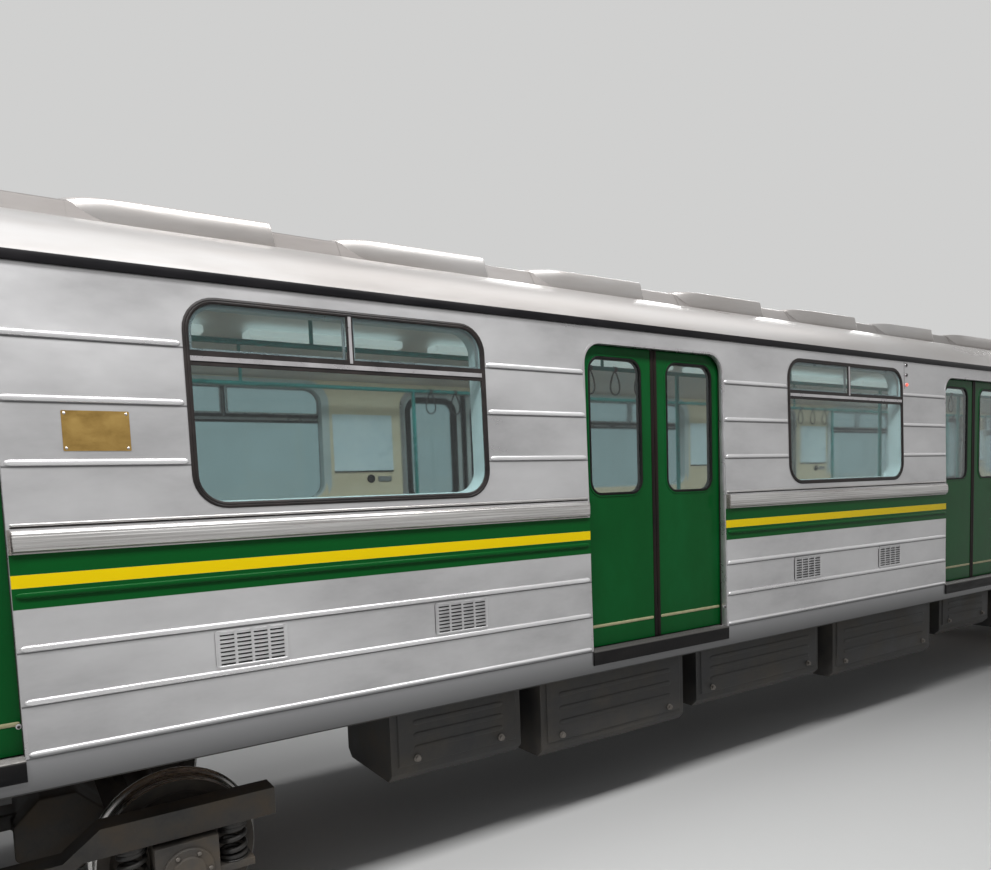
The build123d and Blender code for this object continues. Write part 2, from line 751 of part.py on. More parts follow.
def make_handrails():
    """Grab rail along one side of the saloon, its hangers and the poles at the bench ends."""
    section = RegularPolygon(POLE_RADIUS, POLE_SIDES)
    end = SHELL_HALF - RAIL_END_GAP
    low = RAIL_Z - POLE_RADIUS - RUN_GAP
    high = RAIL_Z + POLE_RADIUS + RUN_GAP
    top = ceiling_z(RAIL_Y + POLE_RADIUS) - RUN_GAP
    poles = [x for x0, x1 in bench_spans() for x in (x0 - POLE_GAP - POLE_RADIUS, x1 + POLE_GAP + POLE_RADIUS)]
    count = int(2 * end / HANGER_PITCH)
    hangers = [(i - count / 2) * HANGER_PITCH for i in range(count + 1)]
    pieces = [rod((-end, -RAIL_Y, RAIL_Z), (end, -RAIL_Y, RAIL_Z), section)]
    pieces += [rod((x, -RAIL_Y, FLOOR_TOP), (x, -RAIL_Y, low), section) for x in poles]
    pieces += [rod((x, -RAIL_Y, high), (x, -RAIL_Y, top), section) for x in hangers]
    return pieces


def make_ceiling_lights():
    """Lamp covers under the ceiling along one side of the saloon."""
    y0 = -LIGHT_Y - LIGHT_WIDE / 2
    z = ceiling_z(LIGHT_Y + LIGHT_WIDE / 2) - RUN_GAP
    middles = [(i - (LIGHT_COUNT - 1) / 2) * LIGHT_PITCH for i in range(LIGHT_COUNT)]
    half = LIGHT_LONG / 2
    return [solid_box(x - half, x + half, y0, y0 + LIGHT_WIDE, z - LIGHT_DEEP, z) for x in middles]


def make_side_beams():
    """The two beams along the foot of the walls."""
    beam = solid_box(-SHELL_HALF, SHELL_HALF, -INNER_Y, -INNER_Y + BEAM_WIDE, BEAM_BOTTOM, FLOOR_BOTTOM)
    return both_sides([beam])


def coupler_pivot_x():
    """Place of the +X coupler's pin along the car."""
    return BODY_HALF - COUPLER_PIVOT_IN


def coupler_bracket():
    """Two cheeks, a back and a pin under the centre sill that hold the +X coupler's bar."""
    x = coupler_pivot_x()
    half = COUPLER_CHEEK_WIDE / 2
    top = COUPLER_Z + COUPLER_BAR_HIGH / 2 + RUN_GAP
    low = COUPLER_Z - COUPLER_BAR_HIGH / 2 - RUN_GAP
    bracket = solid_box(x - half, x + half, -half, half, top, BEAM_BOTTOM)
    bracket += solid_box(x - half, x + half, -half, half, low - COUPLER_CHEEK, low)
    bracket += solid_box(x - half, x - half + COUPLER_CHEEK, -half, half, low, top)
    return bracket + rod((x, 0, low), (x, 0, top), Circle(COUPLER_PIN_RADIUS))


def make_underframe():
    """Cross bearers between the beams, and at each end a frame of bolster, sill, bearer and headstock."""
    inner = INNER_Y - BEAM_WIDE
    top = FLOOR_BOTTOM
    half = BEARER_WIDE / 2
    span = BOGIE_CENTRES / 2 - BEARER_FROM_BOGIE
    places = [span * (2 * i / (BEARER_COUNT - 1) - 1) for i in range(BEARER_COUNT)]
    bearers = [solid_box(x - half, x + half, -inner, inner, BEARER_BOTTOM, top) for x in places]
    bolster = BOLSTER_LONG / 2
    foot = BOLSTER_TOP + RUN_GAP
    head = SHELL_HALF - HEADSTOCK_LONG
    middle = (BOGIE_X + bolster + head) / 2
    end = solid_box(BOGIE_X - bolster, BOGIE_X + bolster, -inner, inner, foot, top)
    end += solid_box(middle - half, middle + half, -inner, inner, BEARER_BOTTOM, top)
    end += solid_box(head, SHELL_HALF, -inner, inner, BEAM_BOTTOM, top)
    end += solid_box(BOGIE_X, SHELL_HALF, -SILL_HALF, SILL_HALF, BEAM_BOTTOM, top)
    end += rod((BOGIE_X, 0, BOLSTER_TOP - PIVOT_DEEP), (BOGIE_X, 0, top), Circle(PIVOT_RADIUS))
    end += coupler_bracket()
    return group(bearers + [end, half_turn(end)])


def make_coupler():
    """Coupler of the +X end: a bar with an eye round the pin, and a head with its cone and cup."""
    x = coupler_pivot_x()
    face = BODY_HALF + COUPLER_OVERHANG
    back = face - COUPLER_HEAD_LONG
    half = COUPLER_BAR_WIDE / 2
    low = COUPLER_Z - COUPLER_BAR_HIGH / 2
    top = COUPLER_Z + COUPLER_BAR_HIGH / 2
    eye = rod((x, 0, low), (x, 0, top), Circle(half))
    eye += solid_box(x, back + COUPLER_HEAD_SLOPE, -half, half, low, top)
    eye -= rod((x, 0, low), (x, 0, top), Circle(COUPLER_PIN_RADIUS + PIVOT_FIT))
    wide = COUPLER_HEAD_WIDE / 2
    head = solid_box(back, face, -wide, wide, COUPLER_Z - COUPLER_HEAD_HIGH / 2, COUPLER_Z + COUPLER_HEAD_HIGH / 2)
    head = chamfer(head.faces().sort_by(Axis.X)[0].edges(), COUPLER_HEAD_SLOPE)
    head -= solid_box(
        face - COUPLER_CUP_DEEP, face, 0, wide, COUPLER_Z - COUPLER_HEAD_HIGH / 2, COUPLER_Z + COUPLER_HEAD_HIGH / 2
    )
    cup = Plane(origin=(face, -wide / 2, COUPLER_Z), z_dir=(-1, 0, 0)) * Circle(COUPLER_CUP_RADIUS)
    head -= extrude(cup, COUPLER_CUP_DEEP, taper=COUPLER_CUP_TAPER)
    cone = Plane(origin=(face - COUPLER_CUP_DEEP, wide / 2, COUPLER_Z), z_dir=(1, 0, 0))
    cone *= Circle(COUPLER_CUP_RADIUS - COUPLER_CUP_FIT)
    return eye + head + extrude(cone, COUPLER_CUP_DEEP, taper=COUPLER_CUP_TAPER)


def end_window(side, fit):
    """Outline of the end window on one side of the end door, smaller by fit all round."""
    high = END_GLASS_HIGH - END_GLASS_LOW - 2 * fit
    outline = rounded(END_SIDE_GLASS_WIDE - 2 * fit, high, END_GLASS_CORNER - fit)
    return Pos(side * END_SIDE_GLASS_Y, (END_GLASS_HIGH + END_GLASS_LOW) / 2) * outline


def make_end_wall():
    """End wall of the +X end with bevelled outer edges, a doorway and a window on each side of it."""
    wall = along_x(body_face(), SHELL_HALF, BODY_HALF)
    wall = chamfer(wall.faces().sort_by(Axis.X)[-1].edges(), END_EDGE)
    half = END_DOOR_WIDE / 2
    wall -= solid_box(SHELL_HALF, BODY_HALF, -half, half, FLOOR_TOP, FLOOR_TOP + END_DOOR_HIGH)
    for side in (-1, 1):
        wall -= along_x(end_window(side, 0), SHELL_HALF, BODY_HALF)
    x = SHELL_HALF - HINGE_STANDOFF
    for z in HINGE_HEIGHTS:
        for foot in (z - HINGE_HIGH / 2 - RUN_GAP - HINGE_LUG, z + HINGE_HIGH / 2 + RUN_GAP):
            wall += solid_box(
                x - HINGE_RADIUS, SHELL_HALF, half - HINGE_PLATE / 2, half + HINGE_FLAP, foot, foot + HINGE_LUG
            )
    return wall


def make_end_glass():
    """Panes of the end windows beside the door of the +X end."""
    x = SHELL_HALF + END_WALL_THICK / 2
    return [along_x(end_window(side, RUN_GAP), x, x + GLASS_THICK) for side in (-1, 1)]


def make_end_door():
    """Door in the +X end wall with its window, pane and the hinge barrels between the wall's lugs."""
    low = FLOOR_TOP + END_DOOR_GAP
    high = FLOOR_TOP + END_DOOR_HIGH - END_DOOR_GAP
    middle = Pos(0, (END_GLASS_HIGH + END_GLASS_LOW) / 2)
    tall = END_GLASS_HIGH - END_GLASS_LOW
    outline = Pos(0, (low + high) / 2) * Rectangle(END_DOOR_WIDE - 2 * END_DOOR_GAP, high - low)
    outline -= middle * rounded(END_GLASS_WIDE, tall, END_GLASS_CORNER)
    fit = 2 * RUN_GAP
    pane = middle * rounded(END_GLASS_WIDE - fit, tall - fit, END_GLASS_CORNER - RUN_GAP)
    door = along_x(outline, SHELL_HALF, SHELL_HALF + END_DOOR_THICK)
    x = SHELL_HALF - HINGE_STANDOFF
    y = END_DOOR_WIDE / 2
    for z in HINGE_HEIGHTS:
        foot = z - HINGE_HIGH / 2
        top = z + HINGE_HIGH / 2
        door += rod((x, y, foot), (x, y, top), Circle(HINGE_RADIUS))
        door += solid_box(SHELL_HALF - HINGE_PLATE, SHELL_HALF, y - HINGE_FLAP, y, foot, top)
        door += solid_box(x, SHELL_HALF, y - HINGE_PLATE / 2, y + HINGE_PLATE / 2, foot, top)
    glass_x = SHELL_HALF + (END_DOOR_THICK - PANE_THICK) / 2
    return group([door, along_x(pane, glass_x, glass_x + PANE_THICK)])


def make_wheelset():
    """Axle with two flanged wheels, turned about Y. The outer face of each wheel is dished to its hub."""
    tip = WHEEL_RADIUS + FLANGE_HIGH
    rim = WHEEL_RADIUS - RIM_DEPTH
    front = WHEEL_BACK + WHEEL_WIDE
    # Half outline: radius, distance from the middle plane
    half = [
        (AXLE_RADIUS, WHEEL_BACK),
        (tip, WHEEL_BACK),
        (WHEEL_RADIUS, WHEEL_BACK + FLANGE_THICK),
        (WHEEL_RADIUS, front),
        (rim, front),
        (HUB_RADIUS, front - DISH_DEEP),
        (HUB_RADIUS, front + HUB_PROUD),
        (JOURNAL_RADIUS, front + HUB_PROUD),
        (JOURNAL_RADIUS, AXLE_HALF),
        (0, AXLE_HALF),
    ]
    far = [(r, -y) for r, y in reversed(half)]
    return Pos(0, 0, WHEEL_RADIUS) * revolve(polygon(far + half), Axis.Y)


def make_axle_boxes():
    """Four axle boxes of one bogie, each with two wings for its springs and a bore for the journal."""
    boxes = []
    for end in (-1, 1):
        for side in (-1, 1):
            x = end * WHEELBASE / 2
            y0, y1 = sorted((side * BOX_INNER, side * BOX_OUTER))
            w0, w1 = sorted((side * FRAME_INNER, side * FRAME_OUTER))
            z = WHEEL_RADIUS
            box = solid_box(x - BOX_HALF, x + BOX_HALF, y0, y1, z - BOX_HALF, z + BOX_HALF)
            box += solid_box(x - BOX_WING, x + BOX_WING, w0, w1, WING_LOW, WING_LOW + WING_THICK)
            bore = Circle(JOURNAL_RADIUS + JOURNAL_FIT)
            boxes.append(box - rod((x, side * BOX_INNER, z), (x, side * (AXLE_HALF + RUN_GAP), z), bore))
    return group(boxes)


def make_springs():
    """Axle-box springs and the larger bolster springs of one bogie, drawn as their outer size."""
    springs = []
    y = (FRAME_INNER + FRAME_OUTER) / 2
    small = RegularPolygon(SPRING_RADIUS, SPRING_SIDES)
    large = RegularPolygon(BOLSTER_SPRING_RADIUS, SPRING_SIDES)
    places = [end * WHEELBASE / 2 + offset for end in (-1, 1) for offset in (-SPRING_OFFSET, SPRING_OFFSET)]
    for side in (-1, 1):
        springs += [rod((x, side * y, WING_LOW + WING_THICK), (x, side * y, FRAME_LOW), small) for x in places]
        springs.append(rod((0, side * y, FRAME_LOW - FRAME_DROP + FRAME_DEEP), (0, side * y, BOLSTER_LOW), large))
    return group(springs)


def cross_tube_z():
    """Height of the tubes that join the side frames of a bogie."""
    return FRAME_LOW - FRAME_DROP + FRAME_DEEP / 2


def make_bogie_frame():
    """Two cranked side frames joined by two cross tubes."""
    top = FRAME_LOW + FRAME_DEEP
    mid = FRAME_MID_HALF
    half = [
        (mid - FRAME_CRANK / 2, FRAME_LOW - FRAME_DROP),
        (mid + FRAME_CRANK / 2, FRAME_LOW),
        (FRAME_HALF, FRAME_LOW),
        (FRAME_HALF, top),
        (mid + FRAME_CRANK, top),
        (mid, top - FRAME_DROP),
    ]
    outline = polygon(half + [(-x, z) for x, z in reversed(half)])
    side = extrude(Plane.XZ.offset(FRAME_INNER) * outline, FRAME_OUTER - FRAME_INNER)
    frame = side + mirror(side, Plane.XZ)
    middle = (FRAME_INNER + FRAME_OUTER) / 2
    z = cross_tube_z()
    for x in (-CROSS_TUBE_X, CROSS_TUBE_X):
        frame += rod((x, -middle, z), (x, middle, z), Circle(CROSS_TUBE_RADIUS))
    return frame


def make_bogie_bolster():
    """Cross beam that carries the body, with the hole for the pivot."""
    half = BOLSTER_HALF_X
    beam = solid_box(-half, half, -BOLSTER_HALF_Y, BOLSTER_HALF_Y, BOLSTER_LOW, BOLSTER_TOP)
    foot = BOLSTER_TOP - PIVOT_DEEP - RUN_GAP
    return beam - rod((0, 0, foot), (0, 0, BOLSTER_TOP), Circle(PIVOT_RADIUS + PIVOT_FIT))


def make_motors():
    """Two traction motors with eight-sided cases, hung from the cross tubes of one bogie."""
    motors = []
    case = RegularPolygon(MOTOR_RADIUS, MOTOR_SIDES, rotation=180 / MOTOR_SIDES)
    lug_z = cross_tube_z()
    for end in (-1, 1):
        x = end * (WHEELBASE / 2 - MOTOR_FROM_AXLE)
        motor = rod((x, -MOTOR_HALF, MOTOR_Z), (x, MOTOR_HALF, MOTOR_Z), case)
        x0, x1 = sorted((end * (CROSS_TUBE_X + CROSS_TUBE_RADIUS + RUN_GAP), x))
        half = MOTOR_HALF / 2
        motors.append(motor + solid_box(x0, x1, -half, half, lug_z - MOTOR_LUG / 2, lug_z + MOTOR_LUG / 2))
    return group(motors)


def make_underfloor_boxes():
    """Equipment boxes hung under the cross bearers, each with a lid on its outer face."""
    boxes = []
    for x, long, y, wide, deep in UNDERFLOOR_BOXES:
        top = BEARER_BOTTOM
        low = top - deep
        side = 1 if y > 0 else -1
        outer = y + side * wide / 2
        box = solid_box(x - long / 2, x + long / 2, y - wide / 2, y + wide / 2, low, top)
        box = chamfer(box.faces().sort_by(Axis.Z)[0].edges().filter_by(Axis.X), BOX_CHAMFER)
        y0, y1 = sorted((outer, outer + side * LID_PROUD))
        edge = long / 2 - LID_MARGIN
        lid = solid_box(x - edge, x + edge, y0, y1, low + BOX_CHAMFER + LID_MARGIN, top - LID_MARGIN)
        boxes.append(box + lid)
    return group(boxes)


def make_air_tanks():
    """Air tanks with coned ends, hung under the cross bearers."""
    tanks = []
    for x, long, radius in AIR_TANKS:
        z = BEARER_BOTTOM - RUN_GAP - radius
        tank = rod((x - long / 2, 0, z), (x + long / 2, 0, z), Circle(radius))
        tanks.append(chamfer(tank.edges().filter_by(GeomType.CIRCLE), TANK_DOME))
    return group(tanks)


os.makedirs("parts", exist_ok=True)

wall = make_side_wall()
save("side_wall_right", wall)
save("side_wall_left", half_turn(wall))
save("roof", make_roof())
duct = make_duct()
save("roof_duct", duct)
save("roof_hoods", both_sides(make_hoods(duct)))
save("belt_and_ribs", both_sides(make_mouldings()))
save("rain_gutters", both_sides([make_gutter()]))
save("window_frames", both_sides(make_window_frames()))
save("window_glass", both_sides(make_window_glass() + make_end_glass()))
save("lining", both_sides([make_lining()]))
save("ceiling", make_ceiling())
save("floor", solid_box(-SHELL_HALF, SHELL_HALF, -LINING_BACK, LINING_BACK, FLOOR_BOTTOM, FLOOR_TOP))
save("door_rails", both_sides(make_door_rails()))
save("door_sills", both_sides(make_sills()))
save("side_grilles", both_sides(make_grilles()))
save("side_lamps", both_sides(make_lamps()))
bases, cushions, backs = make_benches()
save("seat_frames", both_sides(bases))
save("seat_cushions", both_sides(cushions))
save("seat_backs", both_sides(backs))
save("handrails", both_sides(make_handrails()))
save("ceiling_lights", both_sides(make_ceiling_lights()))
save("side_beams", make_side_beams())
save("underframe", make_underframe())
save("underfloor_boxes", make_underfloor_boxes())
save("air_tanks", make_air_tanks())
save("end_walls", both_sides([make_end_wall()]))

for name, turn in (("front", Rot()), ("rear", Rot(0, 0, 180))):
    save("coupler_" + name, turn * make_coupler())
    save("end_door_" + name, turn * make_end_door())

for name, side in (("front", 1), ("rear", -1)):
    place = Pos(side * BOGIE_X, 0, 0)
    save("bogie_frame_" + name, place * make_bogie_frame())
    save("bogie_bolster_" + name, place * make_bogie_bolster())
    save("axle_boxes_" + name, place * make_axle_boxes())
    save("springs_" + name, place * make_springs())
    save("traction_motors_" + name, place * make_motors())
    for number, end in ((1, 1), (2, -1)):
        wheelset = place * Pos(end * WHEELBASE / 2, 0, 0) * make_wheelset()
        save("wheelset_" + name + "_" + str(number), wheelset)

for number, x in enumerate(DOOR_X, 1):
    for letter, side in (("a", -1), ("b", 1)):
        leaf = make_leaf(x, side)
        save("door_leaf_right_" + str(number) + letter, leaf)
        save("door_leaf_left_" + str(number) + letter, half_turn(leaf))
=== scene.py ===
import bmesh
import bpy
import numpy as np
from mathutils import Matrix
from mathutils.geometry import tessellate_polygon


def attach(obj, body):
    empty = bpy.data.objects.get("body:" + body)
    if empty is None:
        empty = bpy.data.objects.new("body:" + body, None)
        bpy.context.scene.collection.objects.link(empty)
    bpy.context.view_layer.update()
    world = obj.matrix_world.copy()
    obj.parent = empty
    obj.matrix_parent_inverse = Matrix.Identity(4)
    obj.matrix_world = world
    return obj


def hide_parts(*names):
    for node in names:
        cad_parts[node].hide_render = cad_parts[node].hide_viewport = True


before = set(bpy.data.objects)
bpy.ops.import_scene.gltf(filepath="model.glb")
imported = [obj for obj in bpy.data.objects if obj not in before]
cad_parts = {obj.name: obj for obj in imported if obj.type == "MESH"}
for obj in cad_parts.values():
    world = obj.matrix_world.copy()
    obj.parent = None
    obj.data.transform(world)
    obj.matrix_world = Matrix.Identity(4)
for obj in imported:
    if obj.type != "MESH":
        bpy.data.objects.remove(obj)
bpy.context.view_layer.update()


# Viewpoint. The photograph was taken at platform height beside the first wide window, looking along the
# side towards the far doors. Place, turn, tilt and lens were solved from the ribs and the doorways.
EYE = (-5.9121, -4.9837, 2.246)
TURN, TILT, ROLL = 0.5778, -0.0809, -0.0359
SENSOR_MM, LENS_MM, LENS_SHIFT, FARTHEST = 36.0, 27.61, 0.117, 300.0

ahead = np.array([np.sin(TURN) * np.cos(TILT), np.cos(TURN) * np.cos(TILT), np.sin(TILT)])
level = np.array([np.cos(TURN), -np.sin(TURN), 0.0])
above = np.cross(level, ahead)
right = np.cos(ROLL) * level + np.sin(ROLL) * above
upward = np.cos(ROLL) * above - np.sin(ROLL) * level
lens = bpy.data.cameras.new("viewpoint")
lens.sensor_width, lens.lens, lens.shift_y, lens.clip_end = SENSOR_MM, LENS_MM, LENS_SHIFT, FARTHEST
viewpoint = bpy.data.objects.new("viewpoint", lens)
axes = Matrix(np.stack([right, upward, -ahead], 1).tolist()).to_4x4()
viewpoint.matrix_world = Matrix.Translation(EYE) @ axes
bpy.context.scene.collection.objects.link(viewpoint)
bpy.context.scene.camera = viewpoint
bpy.context.scene.view_settings.view_transform = "Standard"


# Studio. A pale floor under the wheels runs out into a background of the same tone, with large soft
# lamps above and in front of each side and an even sky for the fill light. From below the floor is clear.
BACKGROUND, SKY_TINT, SKY_FILL = (0.63, 0.63, 0.625), (0.95, 0.97, 1.0), 0.26
FLOOR_TONE, FLOOR_RADIUS, FLOOR_NEAR, FLOOR_FAR = (0.50, 0.50, 0.495), 120.0, 0.8, 6.0
CAR_HALF_LONG, CAR_HALF_WIDE = 9.4, 1.35
LAMPS = (  # name, place, aim, length, width, watts
    ("lamp_near", (-6.3, -3.9, 7.0), (-6.3, -1.2, 2.2), 11.5, 1.2, 790.0),
    ("lamp_far", (6.3, 3.9, 7.0), (6.3, 1.2, 2.2), 11.5, 1.2, 790.0),
    ("lamp_top", (0.0, 0.0, 9.5), (0.0, 0.0, 3.0), 18.0, 3.0, 220.0),
    ("lamp_front_end", (15.0, 0.0, 6.5), (9.0, 0.0, 1.8), 5.0, 2.0, 190.0),
    ("lamp_rear_end", (-15.0, 0.0, 6.5), (-9.0, 0.0, 1.8), 5.0, 2.0, 190.0),
    ("lamp_inside", (0.0, 0.0, 3.30), (0.0, 0.0, 2.0), 18.0, 0.5, 190.0),
)


def plug(paint, made, inputs):
    """Gives inputs of a shader node, by name or number, values or the sockets that they come from."""
    for key, value in dict(inputs).items():
        if isinstance(value, bpy.types.NodeSocket):
            paint.node_tree.links.new(value, made.inputs[key])
        else:
            made.inputs[key].default_value = value
    return made


def node(paint, kind, inputs=(), **settings):
    """Adds a shader node with its settings and inputs."""
    made = paint.node_tree.nodes.new("ShaderNode" + kind)
    for key, value in settings.items():
        setattr(made, key, value)
    return plug(paint, made, inputs)


def shaded(paint, channels):
    """Gives channels of a material values or sockets, and hands the material back."""
    plug(paint, paint.node_tree.nodes["Principled BSDF"], channels)
    return paint


def new_paint(name):
    """A new material with the usual shader."""
    paint = bpy.data.materials.new(name)
    paint.use_nodes = True
    return paint


def studio_rays(paint):
    """1 for rays from the camera, from a mirror or through glass, and 0 for those that light things."""
    path = node(paint, "LightPath").outputs
    seen = node(paint, "Math", {0: path["Is Camera Ray"], 1: path["Is Glossy Ray"]}, operation="MAXIMUM")
    seen = node(paint, "Math", {0: seen.outputs[0], 1: path["Is Transmission Ray"]}, operation="MAXIMUM")
    return seen.outputs[0]


def unit(vector):
    """The vector at length 1."""
    return np.array(vector, float) / np.linalg.norm(vector)


def square_to(direction):
    """An axis that isn't near the direction, for building axes square to it."""
    return (0.0, 0.0, 1.0) if abs(direction[2]) < 0.9 else (0.0, 1.0, 0.0)


world = bpy.data.worlds.new("studio")
bpy.context.scene.world = world
world.use_nodes = True
world.node_tree.nodes.clear()
fill = node(world, "Background", {"Color": (*SKY_TINT, 1), "Strength": SKY_FILL})
shown = node(world, "Background", {"Color": (*BACKGROUND, 1), "Strength": 1.0})
sky = node(world, "MixShader", {0: studio_rays(world), 1: fill.outputs[0], 2: shown.outputs[0]})
node(world, "OutputWorld", {0: sky.outputs[0]})

bpy.ops.mesh.primitive_circle_add(vertices=96, radius=FLOOR_RADIUS, fill_type="NGON")
ground = bpy.context.active_object
ground.name = "studio_floor"
paint = shaded(new_paint("pale_floor"), {"Base Color": (*FLOOR_TONE, 1), "Roughness": 0.85})
matt = paint.node_tree.nodes["Principled BSDF"].outputs[0]
beside = node(paint, "VectorMath", {0: node(paint, "TexCoord").outputs["Object"]}, operation="ABSOLUTE")
for number, operation in (((CAR_HALF_LONG, CAR_HALF_WIDE, 0), "SUBTRACT"), ((0, 0, 0), "MAXIMUM")):
    beside = node(paint, "VectorMath", {0: beside.outputs[0], 1: number}, operation=operation)
reach = node(paint, "VectorMath", {0: beside.outputs[0]}, operation="LENGTH").outputs["Value"]
share = node(paint, "MapRange", {0: reach, 1: FLOOR_NEAR, 2: FLOOR_FAR}, interpolation_type="SMOOTHSTEP")
share = node(paint, "Math", {0: share.outputs[0], 1: studio_rays(paint)}, operation="MULTIPLY").outputs[0]
glow = node(paint, "Emission", {"Color": (*BACKGROUND, 1), "Strength": 1.0}).outputs[0]
blend = node(paint, "MixShader", {0: share, 1: matt, 2: glow}).outputs[0]
behind, clear = node(paint, "NewGeometry").outputs["Backfacing"], node(paint, "BsdfTransparent").outputs[0]
one_sided = node(paint, "MixShader", {0: behind, 1: blend, 2: clear}).outputs[0]
plug(paint, paint.node_tree.nodes["Material Output"], {0: one_sided})
ground.data.materials.append(paint)

for name, place, aim, long, wide, watts in LAMPS:
    lamp = bpy.data.lights.new(name, "AREA")
    lamp.shape = "RECTANGLE"
    lamp.size, lamp.size_y, lamp.energy = long, wide, watts
    stand = bpy.data.objects.new(name, lamp)
    down = unit(np.subtract(aim, place))
    across = unit(np.cross(down, square_to(down)))
    turn = Matrix(np.stack([across, np.cross(across, down), -down], 1).tolist()).to_4x4()
    stand.matrix_world = Matrix.Translation(place) @ turn
    if name == "lamp_inside":
        stand.visible_transmission = stand.visible_glossy = False
    bpy.context.scene.collection.objects.link(stand)


# Wheelsets. Each is a forged axle with two rolled steel wheels pressed on, flanges inwards, and bare
# journals at its ends. Tread and flange run bright on the rail; web, hub and axle stay dark and dusty.
BOGIES, HALF_WHEELBASE, AXLE_Z, WHEEL_SIDES = {"front": 6.3, "rear": -6.3}, 1.05, 0.418, 96
WHEEL_HALF = [  # radius, distance from the middle of the axle
    (0.058, 1.078), (0.065, 1.071), (0.065, 0.874), (0.118, 0.872), (0.125, 0.865), (0.127, 0.802),
    (0.140, 0.786), (0.200, 0.789), (0.270, 0.802), (0.305, 0.818), (0.318, 0.838), (0.325, 0.849),
    (0.330, 0.850), (0.384, 0.850), (0.3894, 0.845), (0.3900, 0.800), (0.3908, 0.766), (0.394, 0.757),
    (0.402, 0.751), (0.411, 0.746), (0.4165, 0.739), (0.418, 0.732), (0.4165, 0.725), (0.411, 0.7205),
    (0.402, 0.720), (0.328, 0.720), (0.317, 0.727), (0.300, 0.738), (0.200, 0.743), (0.140, 0.738),
    (0.128, 0.724), (0.120, 0.720), (0.092, 0.719), (0.082, 0.706),
]
TREAD_ROWS = (13, 24)


def surface(points, round_u=False, round_v=False, lids=False):
    """Quads between the neighbours in a grid of points [u, v]. A round direction joins its last row to
    its first, and lids closes the two ends of u with one flat face each."""
    n, m = points.shape[:2]
    number = np.arange(n * m).reshape(n, m)
    if round_u:
        number = np.vstack([number, number[:1]])
    if round_v:
        number = np.hstack([number, number[:, :1]])
    corners = [number[:-1, :-1], number[1:, :-1], number[1:, 1:], number[:-1, 1:]]
    faces = [np.stack(corners, -1).reshape(-1, 4)]
    if lids:
        faces += [np.arange(m)[None], (np.arange(m) + (n - 1) * m)[None, ::-1]]
    return points.reshape(-1, 3), faces


def bar(rows):
    """A closed bar through rows of points that each go once round its section."""
    return surface(rows, round_v=True, lids=True)


def turned(profile, centre, axis, sides=48):
    """A profile of (radius, distance along the axis) turned round the axis through centre: each ring
    is centre + distance * axis + radius * (cos a, sin a) in the plane square to the axis."""
    radius, along = np.array(profile, float).T
    axis = unit(axis)
    one = unit(np.cross(axis, square_to(axis)))
    angle = (np.arange(sides) + 0.5) * 2 * np.pi / sides
    around = np.cos(angle)[:, None] * one + np.sin(angle)[:, None] * np.cross(axis, one)
    return bar(np.array(centre, float) + along[:, None, None] * axis + radius[:, None, None] * around)


def half_turned(shape):
    """The same surface on the other side and end of the car."""
    return shape[0] * (-1, -1, 1), shape[1]


def outward(points, faces):
    """The same faces of a closed surface, turned round if the volume that they enclose is negative."""
    volume = 0.0
    for f in faces:
        for k in range(1, f.shape[1] - 1):
            volume += np.sum(points[f[:, 0]] * np.cross(points[f[:, k]], points[f[:, k + 1]]))
    return [f[:, ::-1] for f in faces] if volume < 0 else faces


def shown_on(mesh, name, materials, crease, body, stands_for):
    """An object of the mesh, smooth but for edges sharper than crease degrees, riding on its body."""
    for material in materials:
        mesh.materials.append(material)
    mesh.shade_smooth()
    mesh.set_sharp_from_angle(angle=np.radians(crease))
    made = bpy.data.objects.new(name, mesh)
    bpy.context.scene.collection.objects.link(made)
    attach(made, body)
    if stands_for:
        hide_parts(*stands_for)
    return made


def piece(name, parts, materials, stands_for=(), body="car_body", crease=40, both=False):
    """One object from closed surfaces. Each part is a surface and the number of its material, or one
    number for each face; both adds every part again on the other side of the car."""
    if both:
        parts = parts + [(half_turned(shape), material) for shape, material in parts]
    starts, corners, sizes, slots = 0, [], [], []
    for (points, faces), material in parts:
        faces = outward(points, faces)
        slots.append(np.broadcast_to(np.asarray(material, int), sum(len(f) for f in faces)))
        for f in faces:
            corners.append((f + starts).ravel())
            sizes.append(np.full(len(f), f.shape[1]))
        starts += len(points)
    corners, sizes = np.concatenate(corners), np.concatenate(sizes)
    mesh = bpy.data.meshes.new(name)
    mesh.vertices.add(starts)
    mesh.vertices.foreach_set("co", np.concatenate([p for (p, _), _ in parts]).astype(np.float32).ravel())
    mesh.loops.add(len(corners))
    mesh.loops.foreach_set("vertex_index", corners.astype(np.int32))
    mesh.polygons.add(len(sizes))
    mesh.polygons.foreach_set("loop_start", (np.cumsum(sizes) - sizes).astype(np.int32))
    mesh.polygons.foreach_set("material_index", np.concatenate(slots).astype(np.int32))
    mesh.update(calc_edges=True)
    mesh.validate()
    return shown_on(mesh, name, materials, crease, body, stands_for)


def ramp(paint, value, tones):
    """The tones in even steps for a value from 0 to 1."""
    made = node(paint, "ValToRGB", {0: value})
    while len(made.color_ramp.elements) < len(tones):
        made.color_ramp.elements.new(0.5)
    for number, (element, tone) in enumerate(zip(made.color_ramp.elements, tones)):
        element.position = number / (len(tones) - 1)
        element.color = (*tone, 1)
    return made.outputs[0]


